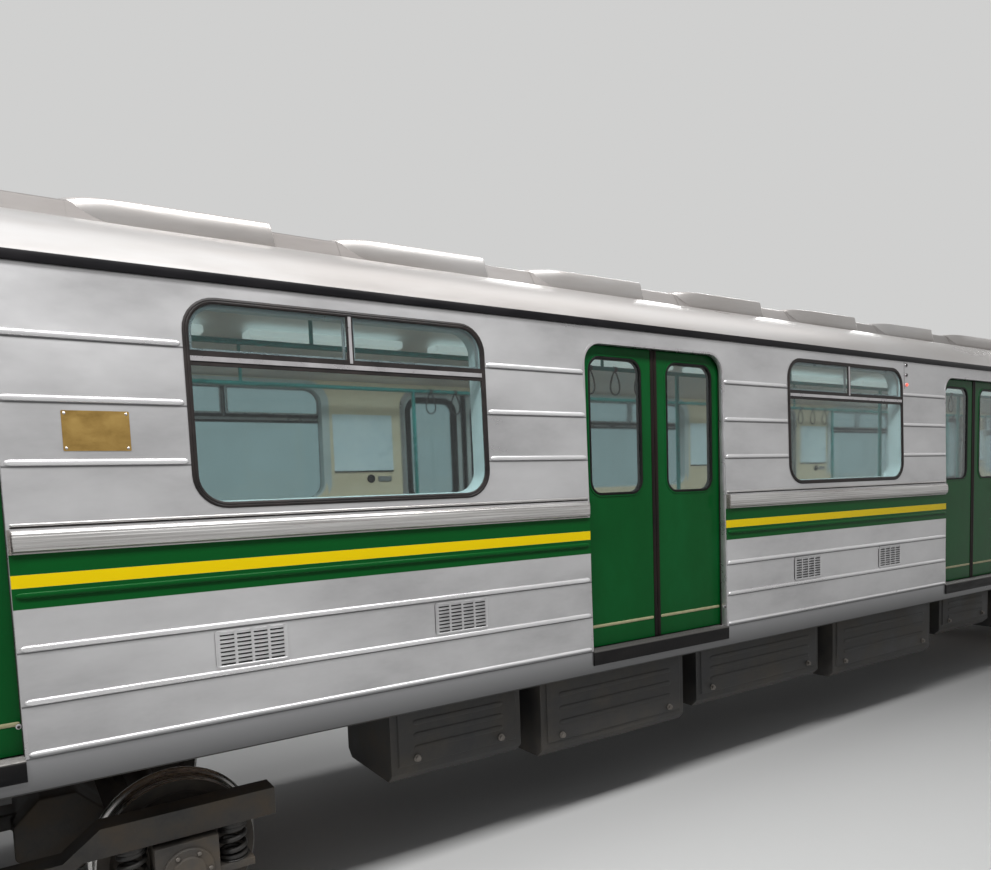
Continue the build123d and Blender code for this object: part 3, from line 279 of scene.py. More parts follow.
def finish(
    name, tones, rough, metal=0.0, grain=(3, 3, 3), pores=(400, 0.00005), waves=None, gloss=0.5, coat=0.0,
):
    """A finish whose colour wanders through tones, and its roughness between two values, along cloudy
    noise stretched by grain; fine noise, pores (cells to the metre, depth), and slow waves raise it."""
    paint = new_paint(name)
    place = node(paint, "TexCoord").outputs["Object"]
    stretched = node(paint, "Mapping", {"Vector": place, "Scale": grain}).outputs[0]
    cloud = node(paint, "TexNoise", {"Vector": stretched, "Scale": 1.0, "Detail": 6.0, "Roughness": 0.62})
    cloud = node(paint, "MapRange", {0: cloud.outputs[0], 1: 0.32, 2: 0.68}).outputs[0]
    worn = node(paint, "MapRange", {0: cloud, 3: rough[0], 4: rough[1]}).outputs[0]
    fine = node(paint, "TexNoise", {"Vector": place, "Scale": float(pores[0]), "Detail": 3.0}).outputs[0]
    relief = node(paint, "Bump", {"Height": fine, "Strength": 1.0, "Distance": pores[1]})
    if waves:
        slow = node(paint, "TexNoise", {"Vector": place, "Scale": float(waves[0]), "Detail": 1.0}).outputs[0]
        under = node(paint, "Bump", {"Height": slow, "Strength": 1.0, "Distance": waves[1]})
        plug(paint, relief, {"Normal": under.outputs[0]})
    return shaded(paint, {
        "Base Color": ramp(paint, cloud, tones), "Roughness": worn, "Normal": relief.outputs[0],
        "Metallic": metal, "Specular IOR Level": gloss, "Coat Weight": coat, "Coat Roughness": 0.12,
    })


wheel_dark = finish(
    "wheel_dark", [(0.030, 0.026, 0.022), (0.075, 0.062, 0.050)], (0.6, 0.85), 0.3, (9, 9, 9), (160, 0.0006),
)
wheel_bright = finish("wheel_bright", [(0.42, 0.41, 0.40), (0.60, 0.59, 0.57)], (0.18, 0.34), 1.0, (2, 60, 2))
profile = WHEEL_HALF + [(r, -y) for r, y in reversed(WHEEL_HALF)]
rows = np.arange(len(profile) - 1)
mirrored = np.minimum(rows, len(profile) - 2 - rows)
bright = ((mirrored >= TREAD_ROWS[0]) & (mirrored < TREAD_ROWS[1])).astype(int)
bright = np.append(np.repeat(bright, WHEEL_SIDES), [0, 0])
for end, middle in BOGIES.items():
    for number, x in ((1, middle + HALF_WHEELBASE), (2, middle - HALF_WHEELBASE)):
        name = f"wheelset_{end}_{number}"
        wheels = turned(profile, (x, 0, AXLE_Z), (0, 1, 0), WHEEL_SIDES)
        piece(
            name + "_turned", [(wheels, bright)], [wheel_dark, wheel_bright], [name],
            body=name, crease=30,
        )


# Axle boxes. Cast steel boxes hold the bearings outside the wheels; two wings carry the springs, and a
# round cover with a ring of bolts closes each journal. All is under dark grey paint and brake dust.
BOX_FACE, BOLT_RING, BOLTS = 1.095, 0.100, 6
COVER = [(0.121, -0.004), (0.121, 0.010), (0.115, 0.016), (0.082, 0.018), (0.076, 0.030), (0.030, 0.033)]
BOLT_HEAD = [(0.011, 0.014), (0.011, 0.026), (0.009, 0.028)]


def softened(name, edge, material, body="car_body", segments=2):
    """A copy of a CAD node whose doubled corners are merged and flat faces joined, with round edges."""
    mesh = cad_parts[name].data.copy()
    mesh.name = name + "_rounded"
    shape = bmesh.new()
    shape.from_mesh(mesh)
    bmesh.ops.remove_doubles(shape, verts=shape.verts, dist=1e-5)
    bmesh.ops.dissolve_limit(shape, angle_limit=np.radians(1), verts=shape.verts, edges=shape.edges)
    shape.to_mesh(mesh)
    shape.free()
    mesh.materials.clear()
    made = shown_on(mesh, name + "_rounded", [material], 50, body, [name])
    bevel = made.modifiers.new("edge", "BEVEL")
    bevel.width, bevel.segments, bevel.harden_normals = edge, segments, True
    bevel.limit_method, bevel.angle_limit = "ANGLE", np.radians(40)


def copies(shape, moves):
    """The same surface at several places: each copy is moved by one row of moves."""
    points, faces = shape
    moves = np.asarray(moves, float)
    first = np.arange(len(moves)) * len(points)
    placed = (points[None] + moves[:, None]).reshape(-1, 3)
    return placed, [(f[None] + first[:, None, None]).reshape(-1, f.shape[1]) for f in faces]


running_paint = finish(
    "running_gear_paint", [(0.020, 0.019, 0.018), (0.052, 0.046, 0.040), (0.085, 0.068, 0.050)], (0.5, 0.85),
    0.1, (5, 5, 5), (120, 0.0008),
)
bolt_steel = finish("bolt_steel", [(0.10, 0.09, 0.08), (0.22, 0.20, 0.18)], (0.35, 0.6), 0.8, (40, 40, 40))
angle = np.arange(BOLTS) * 2 * np.pi / BOLTS
ring = BOLT_RING * np.stack([np.cos(angle), 0 * angle, np.sin(angle)], 1)
for end, x in BOGIES.items():
    softened("axle_boxes_" + end, 0.010, running_paint, "bogie_" + end)
    places = np.array([(x + e * HALF_WHEELBASE, 0, AXLE_Z) for e in (-1, 1)])
    parts = []
    for side in (-1, 1):
        foot, out = (0, side * BOX_FACE, 0), (0, side, 0)
        parts.append((copies(turned(COVER, foot, out, 40), places), 0))
        parts.append((copies(turned(BOLT_HEAD, foot, out, 6), (places[:, None] + ring).reshape(-1, 3)), 1))
    piece("axle_box_covers_" + end, parts, [running_paint, bolt_steel], body="bogie_" + end)


# Springs. Coil springs of round bar, wound with flat ground ends: four small ones on each side over the
# wings of the axle boxes, and one large one on each side between frame and bolster, on round seats.
SMALL_SPRING = {"radius": 0.072, "wire": 0.013, "low": 0.388, "high": 0.588, "turns": 5.0}
LARGE_SPRING = {"radius": 0.115, "wire": 0.018, "low": 0.608, "high": 0.818, "turns": 4.2}
SPRING_Y, SPRING_FROM_AXLE, SEAT_HIGH = 1.0, 0.24, 0.008
SEAT = [(-0.002, 0.0), (0.0, 0.002), (0.0, 0.006), (-0.002, SEAT_HIGH)]  # past the spring, height


def tube(path, radius, sides=10, closed=False):
    """A round bar along a path: rings stand square to it, each turned from the last as little as can be."""
    path = np.asarray(path, float)
    if closed:
        ahead = np.roll(path, -1, 0) - np.roll(path, 1, 0)
    else:
        ahead = np.gradient(path, axis=0)
    ahead /= np.linalg.norm(ahead, axis=1)[:, None]
    sideways = np.zeros_like(path)
    turn = np.cross(ahead[0], (0.31, 0.52, 0.79))
    for i, direction in enumerate(ahead):
        turn = unit(turn - direction * (turn @ direction))
        sideways[i] = turn
    angle = (np.arange(sides) * 2 * np.pi / sides)[None, :, None]
    ring = np.cos(angle) * sideways[:, None] + np.sin(angle) * np.cross(ahead, sideways)[:, None]
    return surface(path[:, None] + radius * ring, round_u=closed, round_v=True, lids=not closed)


def coil(radius, wire, low, high, turns):
    """A compression spring about the z axis: a helix whose pitch runs out to nothing at both ends."""
    t = np.linspace(0, 1, int(turns * 22) + 1)
    angle = 2 * np.pi * turns * t
    rise = t - np.sin(2 * np.pi * t) / (2 * np.pi) * 0.75
    reach = radius - wire
    height = low + wire + (high - low - 2 * wire) * rise
    return tube(np.stack([reach * np.cos(angle), reach * np.sin(angle), height], 1), wire, 9)


spring_paint = finish(
    "spring_paint", [(0.012, 0.012, 0.012), (0.04, 0.036, 0.032)], (0.35, 0.6), 0.2, (14, 14, 14),
)
for end, x in BOGIES.items():
    wings = [x + e * HALF_WHEELBASE + o * SPRING_FROM_AXLE for e in (-1, 1) for o in (-1, 1)]
    small, large = ([(a, side * SPRING_Y, 0) for a in row for side in (-1, 1)] for row in (wings, [x]))
    sets = ((SMALL_SPRING, small), (LARGE_SPRING, large))
    parts = [(copies(coil(**spring), places), 0) for spring, places in sets]
    for spring, places in sets:
        for z in (spring["low"], spring["high"] - SEAT_HIGH):
            seat = turned([(spring["radius"] + r, z + h) for r, h in SEAT], (0, 0, 0), (0, 0, 1), 32)
            parts.append((copies(seat, places), 0))
    name = "springs_" + end
    piece(name + "_coiled", parts, [spring_paint], [name], body="bogie_" + end)


# Bogie frames, bolsters and motors. The side frames are welded box sections, cranked down in the middle
# and joined by two tubes; the cast bolster rests on the large springs and the motors hang on the tubes.
for end in BOGIES:
    for name, edge in (("bogie_frame_", 0.012), ("bogie_bolster_", 0.014), ("traction_motors_", 0.018)):
        softened(name + end, edge, running_paint, "bogie_" + end)


# Underframe and side beams. Folded and welded steel channels under the floor, with the bolsters over the
# bogies and the brackets of the couplers; black paint, dulled by dust.
under_paint = finish(
    "underframe_paint", [(0.012, 0.012, 0.013), (0.030, 0.028, 0.026), (0.055, 0.048, 0.040)], (0.5, 0.8),
    0.0, (3, 3, 3), (90, 0.0006),
)
softened("underframe", 0.006, under_paint, segments=1)
softened("side_beams", 0.008, under_paint)


# Couplers. Cast steel heads with a cone and a cup meet face to face with the next car; the bar swings
# about its pin. The casting is rough and brown with rust and grease.
cast_steel = finish(
    "cast_steel", [(0.055, 0.042, 0.033), (0.11, 0.085, 0.065), (0.16, 0.13, 0.105)], (0.45, 0.75), 0.6,
    (12, 12, 12), (90, 0.0012),
)
for end in BOGIES:
    softened("coupler_" + end, 0.007, cast_steel, "coupler_" + end)


# Underfloor boxes. Sheet-steel cases for the electrical gear, bolted up under the cross bearers, each
# with a pressed lid that hangs on two hinges and shuts with round latches.
UNDERFLOOR_BOXES = (  # middle along, length, middle across, width, depth
    (-3.70, 0.90, -0.80, 0.64, 0.48), (-2.45, 1.30, -0.79, 0.68, 0.56), (-0.90, 1.50, -0.80, 0.64, 0.50),
    (0.85, 1.60, -0.79, 0.68, 0.56), (2.35, 1.00, -0.80, 0.64, 0.43), (3.65, 1.10, -0.79, 0.68, 0.52),
    (-3.60, 1.10, 0.79, 0.68, 0.52), (-2.10, 1.50, 0.80, 0.64, 0.48), (-0.45, 1.30, 0.79, 0.68, 0.56),
    (1.05, 1.20, 0.80, 0.64, 0.43), (2.50, 1.30, 0.79, 0.68, 0.56), (3.80, 0.80, 0.80, 0.64, 0.50),
)
BOX_TOP, LID_PROUD, LID_LOW, LID_HIGH = 1.068, 0.012, 0.095, 0.045
LID_RIBS = {"half": 0.016, "proud": 0.007, "nose": 0.03}
LID_RIB_SHARES, LID_RIB_END, SUNK = (0.28, 0.5, 0.72), 0.14, 0.001
LATCH_END, LATCH_UP, HINGE_END, HINGE_DOWN = 0.16, 0.035, 0.2, 0.004
LATCH = [(0.022, -0.002), (0.022, 0.006), (0.012, 0.010), (0.012, 0.020), (0.016, 0.022)]
LID_HINGE = [(0.009, -0.05), (0.011, -0.048), (0.011, 0.048), (0.009, 0.05)]


def bullet(x0, x1, half, proud, nose, steps=7, around=10):
    """A half-round bar from x0 to x1, up to proud high and 2 * half wide, as points (x, across, out);
    over the length nose at each end it shrinks as a quarter circle does, to a bullet end."""
    t = np.linspace(0, 1, steps)
    shrink = np.sqrt(np.maximum(0.0, 1 - (1 - t) ** 2))
    x = np.concatenate([x0 + nose * t, x1 - nose * t[::-1]])
    size = np.maximum(np.concatenate([shrink, shrink[::-1]]), 0.03)
    angle = np.linspace(0, np.pi, around)
    across = size[:, None] * half * np.cos(angle)
    out = size[:, None] * proud * np.sin(angle) ** 0.6 - SUNK
    return np.stack([np.broadcast_to(x[:, None], across.shape), across, out], -1)


softened("underfloor_boxes", 0.008, under_paint)
ribs, latches, hinges = [], [], []
for x, long, y, wide, deep in UNDERFLOOR_BOXES:
    side = np.sign(y)
    face = y + side * (wide / 2 + LID_PROUD)
    low, high = BOX_TOP - deep + LID_LOW, BOX_TOP - LID_HIGH
    for share in LID_RIB_SHARES:
        rib = bullet(x - long / 2 + LID_RIB_END, x + long / 2 - LID_RIB_END, **LID_RIBS)
        height = low + (high - low) * share + rib[..., 1]
        ribs.append((bar(np.stack([rib[..., 0], face + side * rib[..., 2], height], -1)), 0))
    for o in (-1, 1):
        at_latch = (x + o * (long / 2 - LATCH_END), face, low + LATCH_UP)
        at_hinge = (x + o * (long / 2 - HINGE_END), face, high - HINGE_DOWN)
        latches.append((turned(LATCH, at_latch, (0, side, 0), 14), 1))
        hinges.append((turned(LID_HINGE, at_hinge, (1, 0, 0), 10), 0))
piece("underfloor_lid_fittings", ribs + latches + hinges, [under_paint, bolt_steel])


# Air tanks. Rolled steel shells with domed ends store the air for the brakes and the doors; flat steel
# bands hold them up to the bearers.
TANK_RADIUS, TANK_LONG, TANK_DOME, TANKS = 0.18, 2.3, 0.07, (-1.9, 1.9)
TANK_Z = BOX_TOP - 0.0003 - TANK_RADIUS
TANK_BANDS, BAND_HALF, BAND_THICK = (-0.75, 0.0, 0.75), 0.02, 0.003

t = np.linspace(0, np.pi / 2, 9)
dome = [(max(TANK_RADIUS * np.sin(a), 0.004), -TANK_LONG / 2 + TANK_DOME * (1 - np.cos(a))) for a in t]
shell = turned(dome + [(r, -h) for r, h in reversed(dome)], (0, 0, TANK_Z), (1, 0, 0))
section = [(0.0, -BAND_HALF), (BAND_THICK, -BAND_HALF), (BAND_THICK, BAND_HALF), (0.0, BAND_HALF)]
band = turned([(TANK_RADIUS + thick, along) for thick, along in section], (0, 0, TANK_Z), (1, 0, 0))
tanks = [(copies(shell, [(c, 0, 0) for c in TANKS]), 0)]
tanks.append((copies(band, [(c + o, 0, 0) for c in TANKS for o in TANK_BANDS]), 1))
piece("air_tanks_domed", tanks, [under_paint, bolt_steel], ["air_tanks"])


# Floor. Plywood on the bearers, covered with hard brown linoleum that shoes have worn to paler and
# smoother patches.
linoleum = finish(
    "linoleum", [(0.10, 0.055, 0.030), (0.17, 0.105, 0.062), (0.21, 0.14, 0.09)], (0.35, 0.6), 0.0,
    (1.5, 4, 4), (500, 0.0002),
)


def dress(name, material):
    """Gives a CAD node that is shown as it is its material."""
    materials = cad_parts[name].data.materials
    if not materials:
        materials.append(material)
    for place in range(len(materials)):
        materials[place] = material


dress("floor", linoleum)


# Side walls. Steel sheet welded to the body posts, upright below the belt and leaning in above it, with
# round-cornered doorways and windows. Bare satin metal, and a green and yellow band below the belt.
RAIL_HEAD = 0.028
SKIN_Y, LEAN_START, LEAN = 1.326, 2.03, 0.021
WALL_LOW, WALL_TOP, WALL_HALF, WALL_THICK = 1.03, 3.251, 9.325, 0.035
DOORS = np.array([-6.525, -2.175, 2.175, 6.525])
DOOR_HALF, DOOR_TOP, DOOR_CORNER, DOOR_LOW, EDGING_UP = 0.6385, 3.107, 0.135, 1.15, 0.02
WINDOWS = (  # middle along, width
    (-8.3975, 1.0), (-4.35, 1.612), (0.0, 1.612), (4.35, 1.612), (8.3975, 1.0),
)
WINDOW_LOW, WINDOW_HIGH, WINDOW_CORNER, WINDOW_LAP, CORNER_STEPS = 2.176, 3.14, 0.155, 0.014, 9
UPPER_RIBS, LOWER_RIBS, RIB_HALF = (2.922, 2.659, 2.395), (1.851, 1.630, 1.405, 1.185), 0.0135
GREEN, YELLOW = (0.0012, 0.066, 0.0105), (0.66, 0.48, 0.002)
BANDS = ((1.794, 1.882, GREEN), (1.882, 1.936, YELLOW), (1.936, 2.021, GREEN))
BAND_PAINT = {"Metallic": 0.0, "Roughness": 0.18, "Specular IOR Level": 0.10}
# Painted shade on the wall's foot: a grey band below the lowest rib, and darker still towards the bottom
# edge.
FOOT_SHADE = (  # lowest and highest line, softness, colour
    (0.9, LOWER_RIBS[-1], 0.004, (0.27, 0.27, 0.275)), (0.9, 1.09, 0.060, (0.12, 0.12, 0.122)),
)
# Painted shade: a thin dark line on the sheet just under each rib, where its shadow falls.
RIB_SHADE_HIGH, RIB_SHADE_SOFT, RIB_SHADE = 0.007, 0.003, (0.10, 0.10, 0.102)


def on_side(flat, out):
    """Points of the first side from (along, height above the rail head) and a distance out from the
    skin: y is minus (half width - lean * height above the belt) - out."""
    x, z = flat[..., 0], flat[..., 1]
    return np.stack([x, -(SKIN_Y - LEAN * np.maximum(0, z - LEAN_START)) - out, z + RAIL_HEAD + 0 * x], -1)


def arc(x, z, radius, start, end, steps=CORNER_STEPS):
    """Points of a circular arc about (x, z)."""
    angle = np.linspace(start, end, steps)
    return np.stack([x + radius * np.cos(angle), z + radius * np.sin(angle)], 1)


def rounded(x0, x1, z0, z1, radius, grow=0.0, steps=CORNER_STEPS):
    """A rectangle with round corners, moved outwards by grow, from its upper right corner round."""
    quarter, near, far, low, high = np.pi / 2, x0 + radius, x1 - radius, z0 + radius, z1 - radius
    corners = [
        arc(x, z, radius + grow, i * quarter, (i + 1) * quarter, steps)
        for i, (x, z) in enumerate(((far, high), (near, high), (near, low), (far, low)))
    ]
    return np.concatenate(corners)


def window_box(x, wide):
    """The two ends and two heights of a window."""
    return x - wide / 2, x + wide / 2, WINDOW_LOW, WINDOW_HIGH


def doorway(x, grow=0.0):
    """Upright, round corner, head, round corner and upright of a doorway, moved outwards by grow."""
    r, z, foot = DOOR_CORNER + grow, DOOR_TOP - DOOR_CORNER, DOOR_LOW + EDGING_UP
    near, far = x - DOOR_HALF + DOOR_CORNER, x + DOOR_HALF - DOOR_CORNER
    head = [arc(near, z, r, np.pi, np.pi / 2), arc(far, z, r, np.pi / 2, 0)]
    return np.concatenate([[[x - DOOR_HALF - grow, foot]], *head, [[x + DOOR_HALF + grow, foot]]])


def plate(outlines, place, front, back):
    """A flat sheet between two depths: the first outline is its edge and the others are holes. Both
    faces are cut into triangles, and quads along every outline join them."""

    def area(o):
        return np.sum(o[:, 0] * np.roll(o[:, 1], -1) - np.roll(o[:, 0], -1) * o[:, 1])

    turned_right = [o if (area(o) > 0) == (i == 0) else o[::-1] for i, o in enumerate(outlines)]
    flat = np.concatenate(turned_right)
    count = len(flat)
    cut = np.array(tessellate_polygon([[(*p, 0.0) for p in o] for o in turned_right]))
    a, b, c = (flat[cut[:, k]] for k in range(3))
    backwards = (b[:, 0] - a[:, 0]) * (c[:, 1] - a[:, 1]) < (c[:, 0] - a[:, 0]) * (b[:, 1] - a[:, 1])
    cut[backwards] = cut[backwards][:, ::-1]
    edges, start = [], 0
    for o in turned_right:
        here = np.arange(len(o)) + start
        after = np.roll(here, -1)
        edges.append(np.stack([after, here, here + count, after + count], 1))
        start += len(o)
    points = np.concatenate([place(flat, front), place(flat, back)])
    return points, [cut, cut[:, ::-1] + count, np.concatenate(edges)]


def over(paint, mask, values):
    """Covers what a finish has in some channels with other values, where mask is 1."""
    for channel, value in values.items():
        socket = paint.node_tree.nodes["Principled BSDF"].inputs[channel]
        colour = channel == "Base Color"
        mixed = node(paint, "Mix", {0: mask}, data_type="RGBA" if colour else "FLOAT")
        below, above, result = (6, 7, 2) if colour else (2, 3, 0)
        if socket.links:
            paint.node_tree.links.new(socket.links[0].from_socket, mixed.inputs[below])
        else:
            mixed.inputs[below].default_value = socket.default_value
        mixed.inputs[above].default_value = (*value, 1) if colour else value
        paint.node_tree.links.new(mixed.outputs[result], socket)


def height_band(paint, low, high, soft=0.0005):
    """1 between two heights above the rail head and 0 outside, with edges as wide as soft."""
    z = node(paint, "SeparateXYZ", {0: node(paint, "TexCoord").outputs["Object"]}).outputs["Z"]
    low, high = low + RAIL_HEAD, high + RAIL_HEAD
    rise = node(paint, "MapRange", {0: z, 1: low - soft, 2: low + soft}).outputs[0]
    fall = node(paint, "MapRange", {0: z, 1: high + soft, 2: high - soft}).outputs[0]
    return node(paint, "Math", {0: rise, 1: fall}, operation="MULTIPLY").outputs[0]


def banded(paint):
    """Paints the green and yellow band of the car over a bare metal finish, and paints shade
    over its foot and in a thin line under each rib."""
    shade_lines = list(FOOT_SHADE)
    for z in UPPER_RIBS + LOWER_RIBS[1:]:
        shade_lines.append((z - RIB_HALF - RIB_SHADE_HIGH, z - RIB_HALF, RIB_SHADE_SOFT, RIB_SHADE))
    for low, high, soft, tone in shade_lines:
        over(paint, height_band(paint, low, high, soft), {"Base Color": tone})
    for low, high, colour in BANDS:
        over(paint, height_band(paint, low, high), {"Base Color": colour, **BAND_PAINT})
    return paint


body_steel = banded(finish(
    "body_steel", [(0.40, 0.395, 0.40), (0.50, 0.495, 0.50), (0.57, 0.565, 0.57)], (0.27, 0.42), 0.75,
    (0.9, 0.9, 2.2), (700, 0.00003), (2.4, 0.0036), 0.35,
))
lower = [[-WALL_HALF, WALL_LOW], [WALL_HALF, WALL_LOW], [WALL_HALF, LEAN_START]]
upper = [[-WALL_HALF, WALL_TOP], [-WALL_HALF, LEAN_START]]
for x in DOORS[::-1]:
    near, far = x - DOOR_HALF, x + DOOR_HALF
    lower += [[far, LEAN_START], [far, DOOR_LOW], [near, DOOR_LOW], [near, LEAN_START]]
for x in DOORS:
    upper += [[x - DOOR_HALF, LEAN_START], *doorway(x)[1:-1].tolist(), [x + DOOR_HALF, LEAN_START]]
lower.append([-WALL_HALF, LEAN_START])
upper += [[WALL_HALF, LEAN_START], [WALL_HALF, WALL_TOP]]
holes = [rounded(*window_box(x, wide), WINDOW_CORNER, -WINDOW_LAP) for x, wide in WINDOWS]
sheets = [plate([np.array(lower)], on_side, 0.0, -WALL_THICK)]
sheets.append(plate([np.array(upper), *holes], on_side, 0.0, -WALL_THICK))
for side, shapes in (("right", sheets), ("left", map(half_turned, sheets))):
    name = "side_wall_" + side
    piece(name + "_sheet", [(shape, 0) for shape in shapes], [body_steel], [name])


# Doorway edging. Bright stainless strip folded round the edge of each doorway, from the sill up over the
# round corners, with a dark rubber lip inside it that wipes the leaf, and a bolt low down on one side.
EDGING = [  # outwards from the opening, out of the skin
    (0.012, -0.001), (0.012, 0.0015), (-0.002, 0.0025), (-0.004, 0.0), (-0.004, -0.052), (0.0, -0.052),
    (0.0, -0.001),
]
WIPER = [(-0.003, -0.050), (-0.007, -0.052), (-0.007, -0.064), (-0.003, -0.064)]
EDGING_Y, WIPER_Y = 1.272, 1.2645
EDGE_BOLT, EDGE_BOLT_IN, STRIP_Z = [(1.0, 0.0), (1.0, 0.010), (0.7, 0.012)], 0.016, 1.309
EDGE_BOLTS = ((0.011, -0.026, 0), (0.006, -0.016, 1))  # radius, depth, material

trim_steel = finish(
    "trim_steel", [(0.42, 0.405, 0.415), (0.55, 0.535, 0.545)], (0.24, 0.38), 0.85, (6, 6, 6), (400, 0.00002),
)
rubber = finish(
    "black_rubber", [(0.007, 0.006, 0.006), (0.020, 0.015, 0.014)], (0.38, 0.55), 0.0, (8, 8, 8),
    (900, 0.00003), None, 0.25,
)
parts = []
for x in DOORS:
    for profile, inmost, material in ((EDGING, EDGING_Y, 0), (WIPER, WIPER_Y, 1)):
        rows = np.stack([on_side(doorway(x, grow), out) for grow, out in profile], 1)
        rows[..., 1] = np.minimum(rows[..., 1], -inmost)
        parts.append((bar(rows), material))
    for radius, depth, material in EDGE_BOLTS:
        foot = on_side(np.array([x + DOOR_HALF - EDGE_BOLT_IN, STRIP_Z]), depth)
        profile = [(share * radius, height) for share, height in EDGE_BOLT]
        parts.append((turned(profile, foot, (0, -1, 0), 12), material))
piece("doorway_edging", parts, [trim_steel, rubber], both=True)


# Ribs and belt. Half-round ribs with bullet ends are pressed into the sheet above and below the belt.
# The belt is a stainless moulding, fluted lengthways, with a cornice strip above and a thin edge below.
RIB_PROUD, RIB_GAP, RIB_NOSE = 0.012, 0.010, 0.030
BELT_LOW, BELT_HIGH, BELT_PROUD, FLUTES, FLUTE_DEEP = 2.03, 2.12, 0.030, 9, 0.0016
BELT_GAP, BELT_NOSE, BELT_BLUNT, BELT_SUNK = 0.004, 0.022, 0.45, 0.0005
BELT_STRIPS = (  # lowest and highest line, proud, material
    (2.1340, 2.1480, 0.008, 0), (2.1265, 2.1340, 0.003, 1), (2.0205, 2.0295, 0.0045, 0),
)
STRIP_NOSE, BRACKET_X, BRACKET_Z = 0.01, (0.001, 0.011), (2.022, 2.124)
BRACKET_CORNER, BRACKET_BACK = 0.003, 0.0006


def belt_rows():
    """Belt section as (height, out): a flattened half oval, 30 mm proud, cut by nine shallow flutes."""
    t = np.linspace(0, 1, FLUTES * 6 + 1)
    middle, half_high = (BELT_LOW + BELT_HIGH) / 2, (BELT_HIGH - BELT_LOW) / 2
    height = middle - half_high * np.cos(np.pi * t)
    oval = np.sin(np.pi * t) ** 0.42
    flute = FLUTE_DEEP * np.abs(np.sin(np.pi * FLUTES * t)) * np.sin(np.pi * t) ** 0.5
    return height, (BELT_PROUD - FLUTE_DEEP) * oval + flute


def lie_on_side(x, z, out):
    """Points of the first side from arrays of x, height above the rail head and distance out."""
    return on_side(np.stack(np.broadcast_arrays(x, z), -1), out)


def half_round(place, x0, x1, z, *size):
    """A half-round bar with bullet ends that lies along a face at one height."""
    x, across, out = np.moveaxis(bullet(x0, x1, *size), -1, 0)
    return bar(place(np.stack([x, z + across], -1), out))


def tablet(place, box, corner, front, back, steps=3):
    """A flat plate with round corners between two depths; box gives its two ends and two heights."""
    return plate([rounded(*box, corner, 0, steps)], place, front, back)


belt_steel = finish(
    "belt_steel", [(0.34, 0.32, 0.31), (0.46, 0.45, 0.44), (0.58, 0.57, 0.56)], (0.24, 0.42), 0.85,
    (1.2, 90, 90), (900, 0.00005),
)
bracket_steel = finish(
    "bracket_steel", [(0.10, 0.085, 0.075), (0.30, 0.28, 0.26)], (0.35, 0.6), 0.6, (90, 90, 90),
    (400, 0.0003),
)
# The ribs' steel is lighter than the wall's: a painted highlight where their round tops catch the light.
rib_steel_painted_highlight = banded(finish(
    "rib_steel_painted_highlight", [(0.62, 0.61, 0.615), (0.76, 0.755, 0.76)], (0.26, 0.40), 0.75, (0.9, 8, 8),
    (700, 0.00003), None, 0.4,
))
panel_starts = [-WALL_HALF, *(DOORS + DOOR_HALF)]
panel_ends = [*(DOORS - DOOR_HALF), WALL_HALF]
height, out = belt_rows()
t = np.linspace(0, 1, 8)
swell = np.sqrt(1 - (1 - t) ** 2)
size = np.concatenate([swell, swell[::-1]])
size[[0, -1]] = BELT_BLUNT
ribs, belts = [], []
for start, end, (x, wide) in zip(panel_starts, panel_ends, WINDOWS):
    x0, x1 = start + RIB_GAP, end - RIB_GAP
    runs = [(x0, x1, z) for z in LOWER_RIBS]
    for z in UPPER_RIBS:
        runs += [(x0, x - wide / 2 - RIB_GAP, z), (x + wide / 2 + RIB_GAP, x1, z)]
    for run in runs:
        ribs.append((half_round(on_side, *run, RIB_HALF, RIB_PROUD + SUNK, RIB_NOSE, 9, 13), 0))
    stations = [start + BELT_GAP + BELT_NOSE * t, end - BELT_GAP - BELT_NOSE * t[::-1]]
    rows = lie_on_side(np.concatenate(stations)[:, None], height[None], size[:, None] * out[None] - BELT_SUNK)
    belts.append((bar(rows), 0))
    for low, high, proud, material in BELT_STRIPS:
        size_of = ((high - low) / 2, proud + SUNK, STRIP_NOSE, 5, 9)
        belts.append((half_round(on_side, x0, x1, (low + high) / 2, *size_of), material))
    box = (start + BRACKET_X[0], start + BRACKET_X[1], *BRACKET_Z)
    belts.append((tablet(on_side, box, BRACKET_CORNER, BELT_PROUD - BRACKET_BACK, -SUNK), 2))
piece("pressed_ribs", ribs, [rib_steel_painted_highlight], ["belt_and_ribs"], crease=60, both=True)
piece(
    "fluted_belt", belts, [belt_steel, rubber, bracket_steel], ["belt_and_ribs"], crease=60,
    both=True,
)


# Rain gutters. A rolled channel runs along the top of each wall, open upwards, and leads the rain that
# comes off the roof past the doorways; it is painted black.
GUTTER = [  # height, out of the skin
    (3.251, -0.001), (3.208, -0.001), (3.206, 0.004), (3.206, 0.010), (3.209, 0.0145), (3.214, 0.016),
    (3.247, 0.016), (3.2505, 0.0145), (3.2505, 0.0125), (3.2495, 0.012), (3.213, 0.012), (3.2105, 0.008),
    (3.2105, 0.004), (3.251, 0.003),
]

gloss_black = finish(
    "gutter_black", [(0.003, 0.003, 0.004), (0.010, 0.009, 0.010)], (0.28, 0.45), 0.0, (2, 12, 12),
    (300, 0.00006), None, 0.12,
)
height, out = np.array(GUTTER).T
gutter = bar(lie_on_side(np.array([-WALL_HALF, 0.0, WALL_HALF])[:, None], height[None], out[None]))
piece("rain_gutters_rolled", [(gutter, 0)], [gloss_black], ["rain_gutters"], both=True)
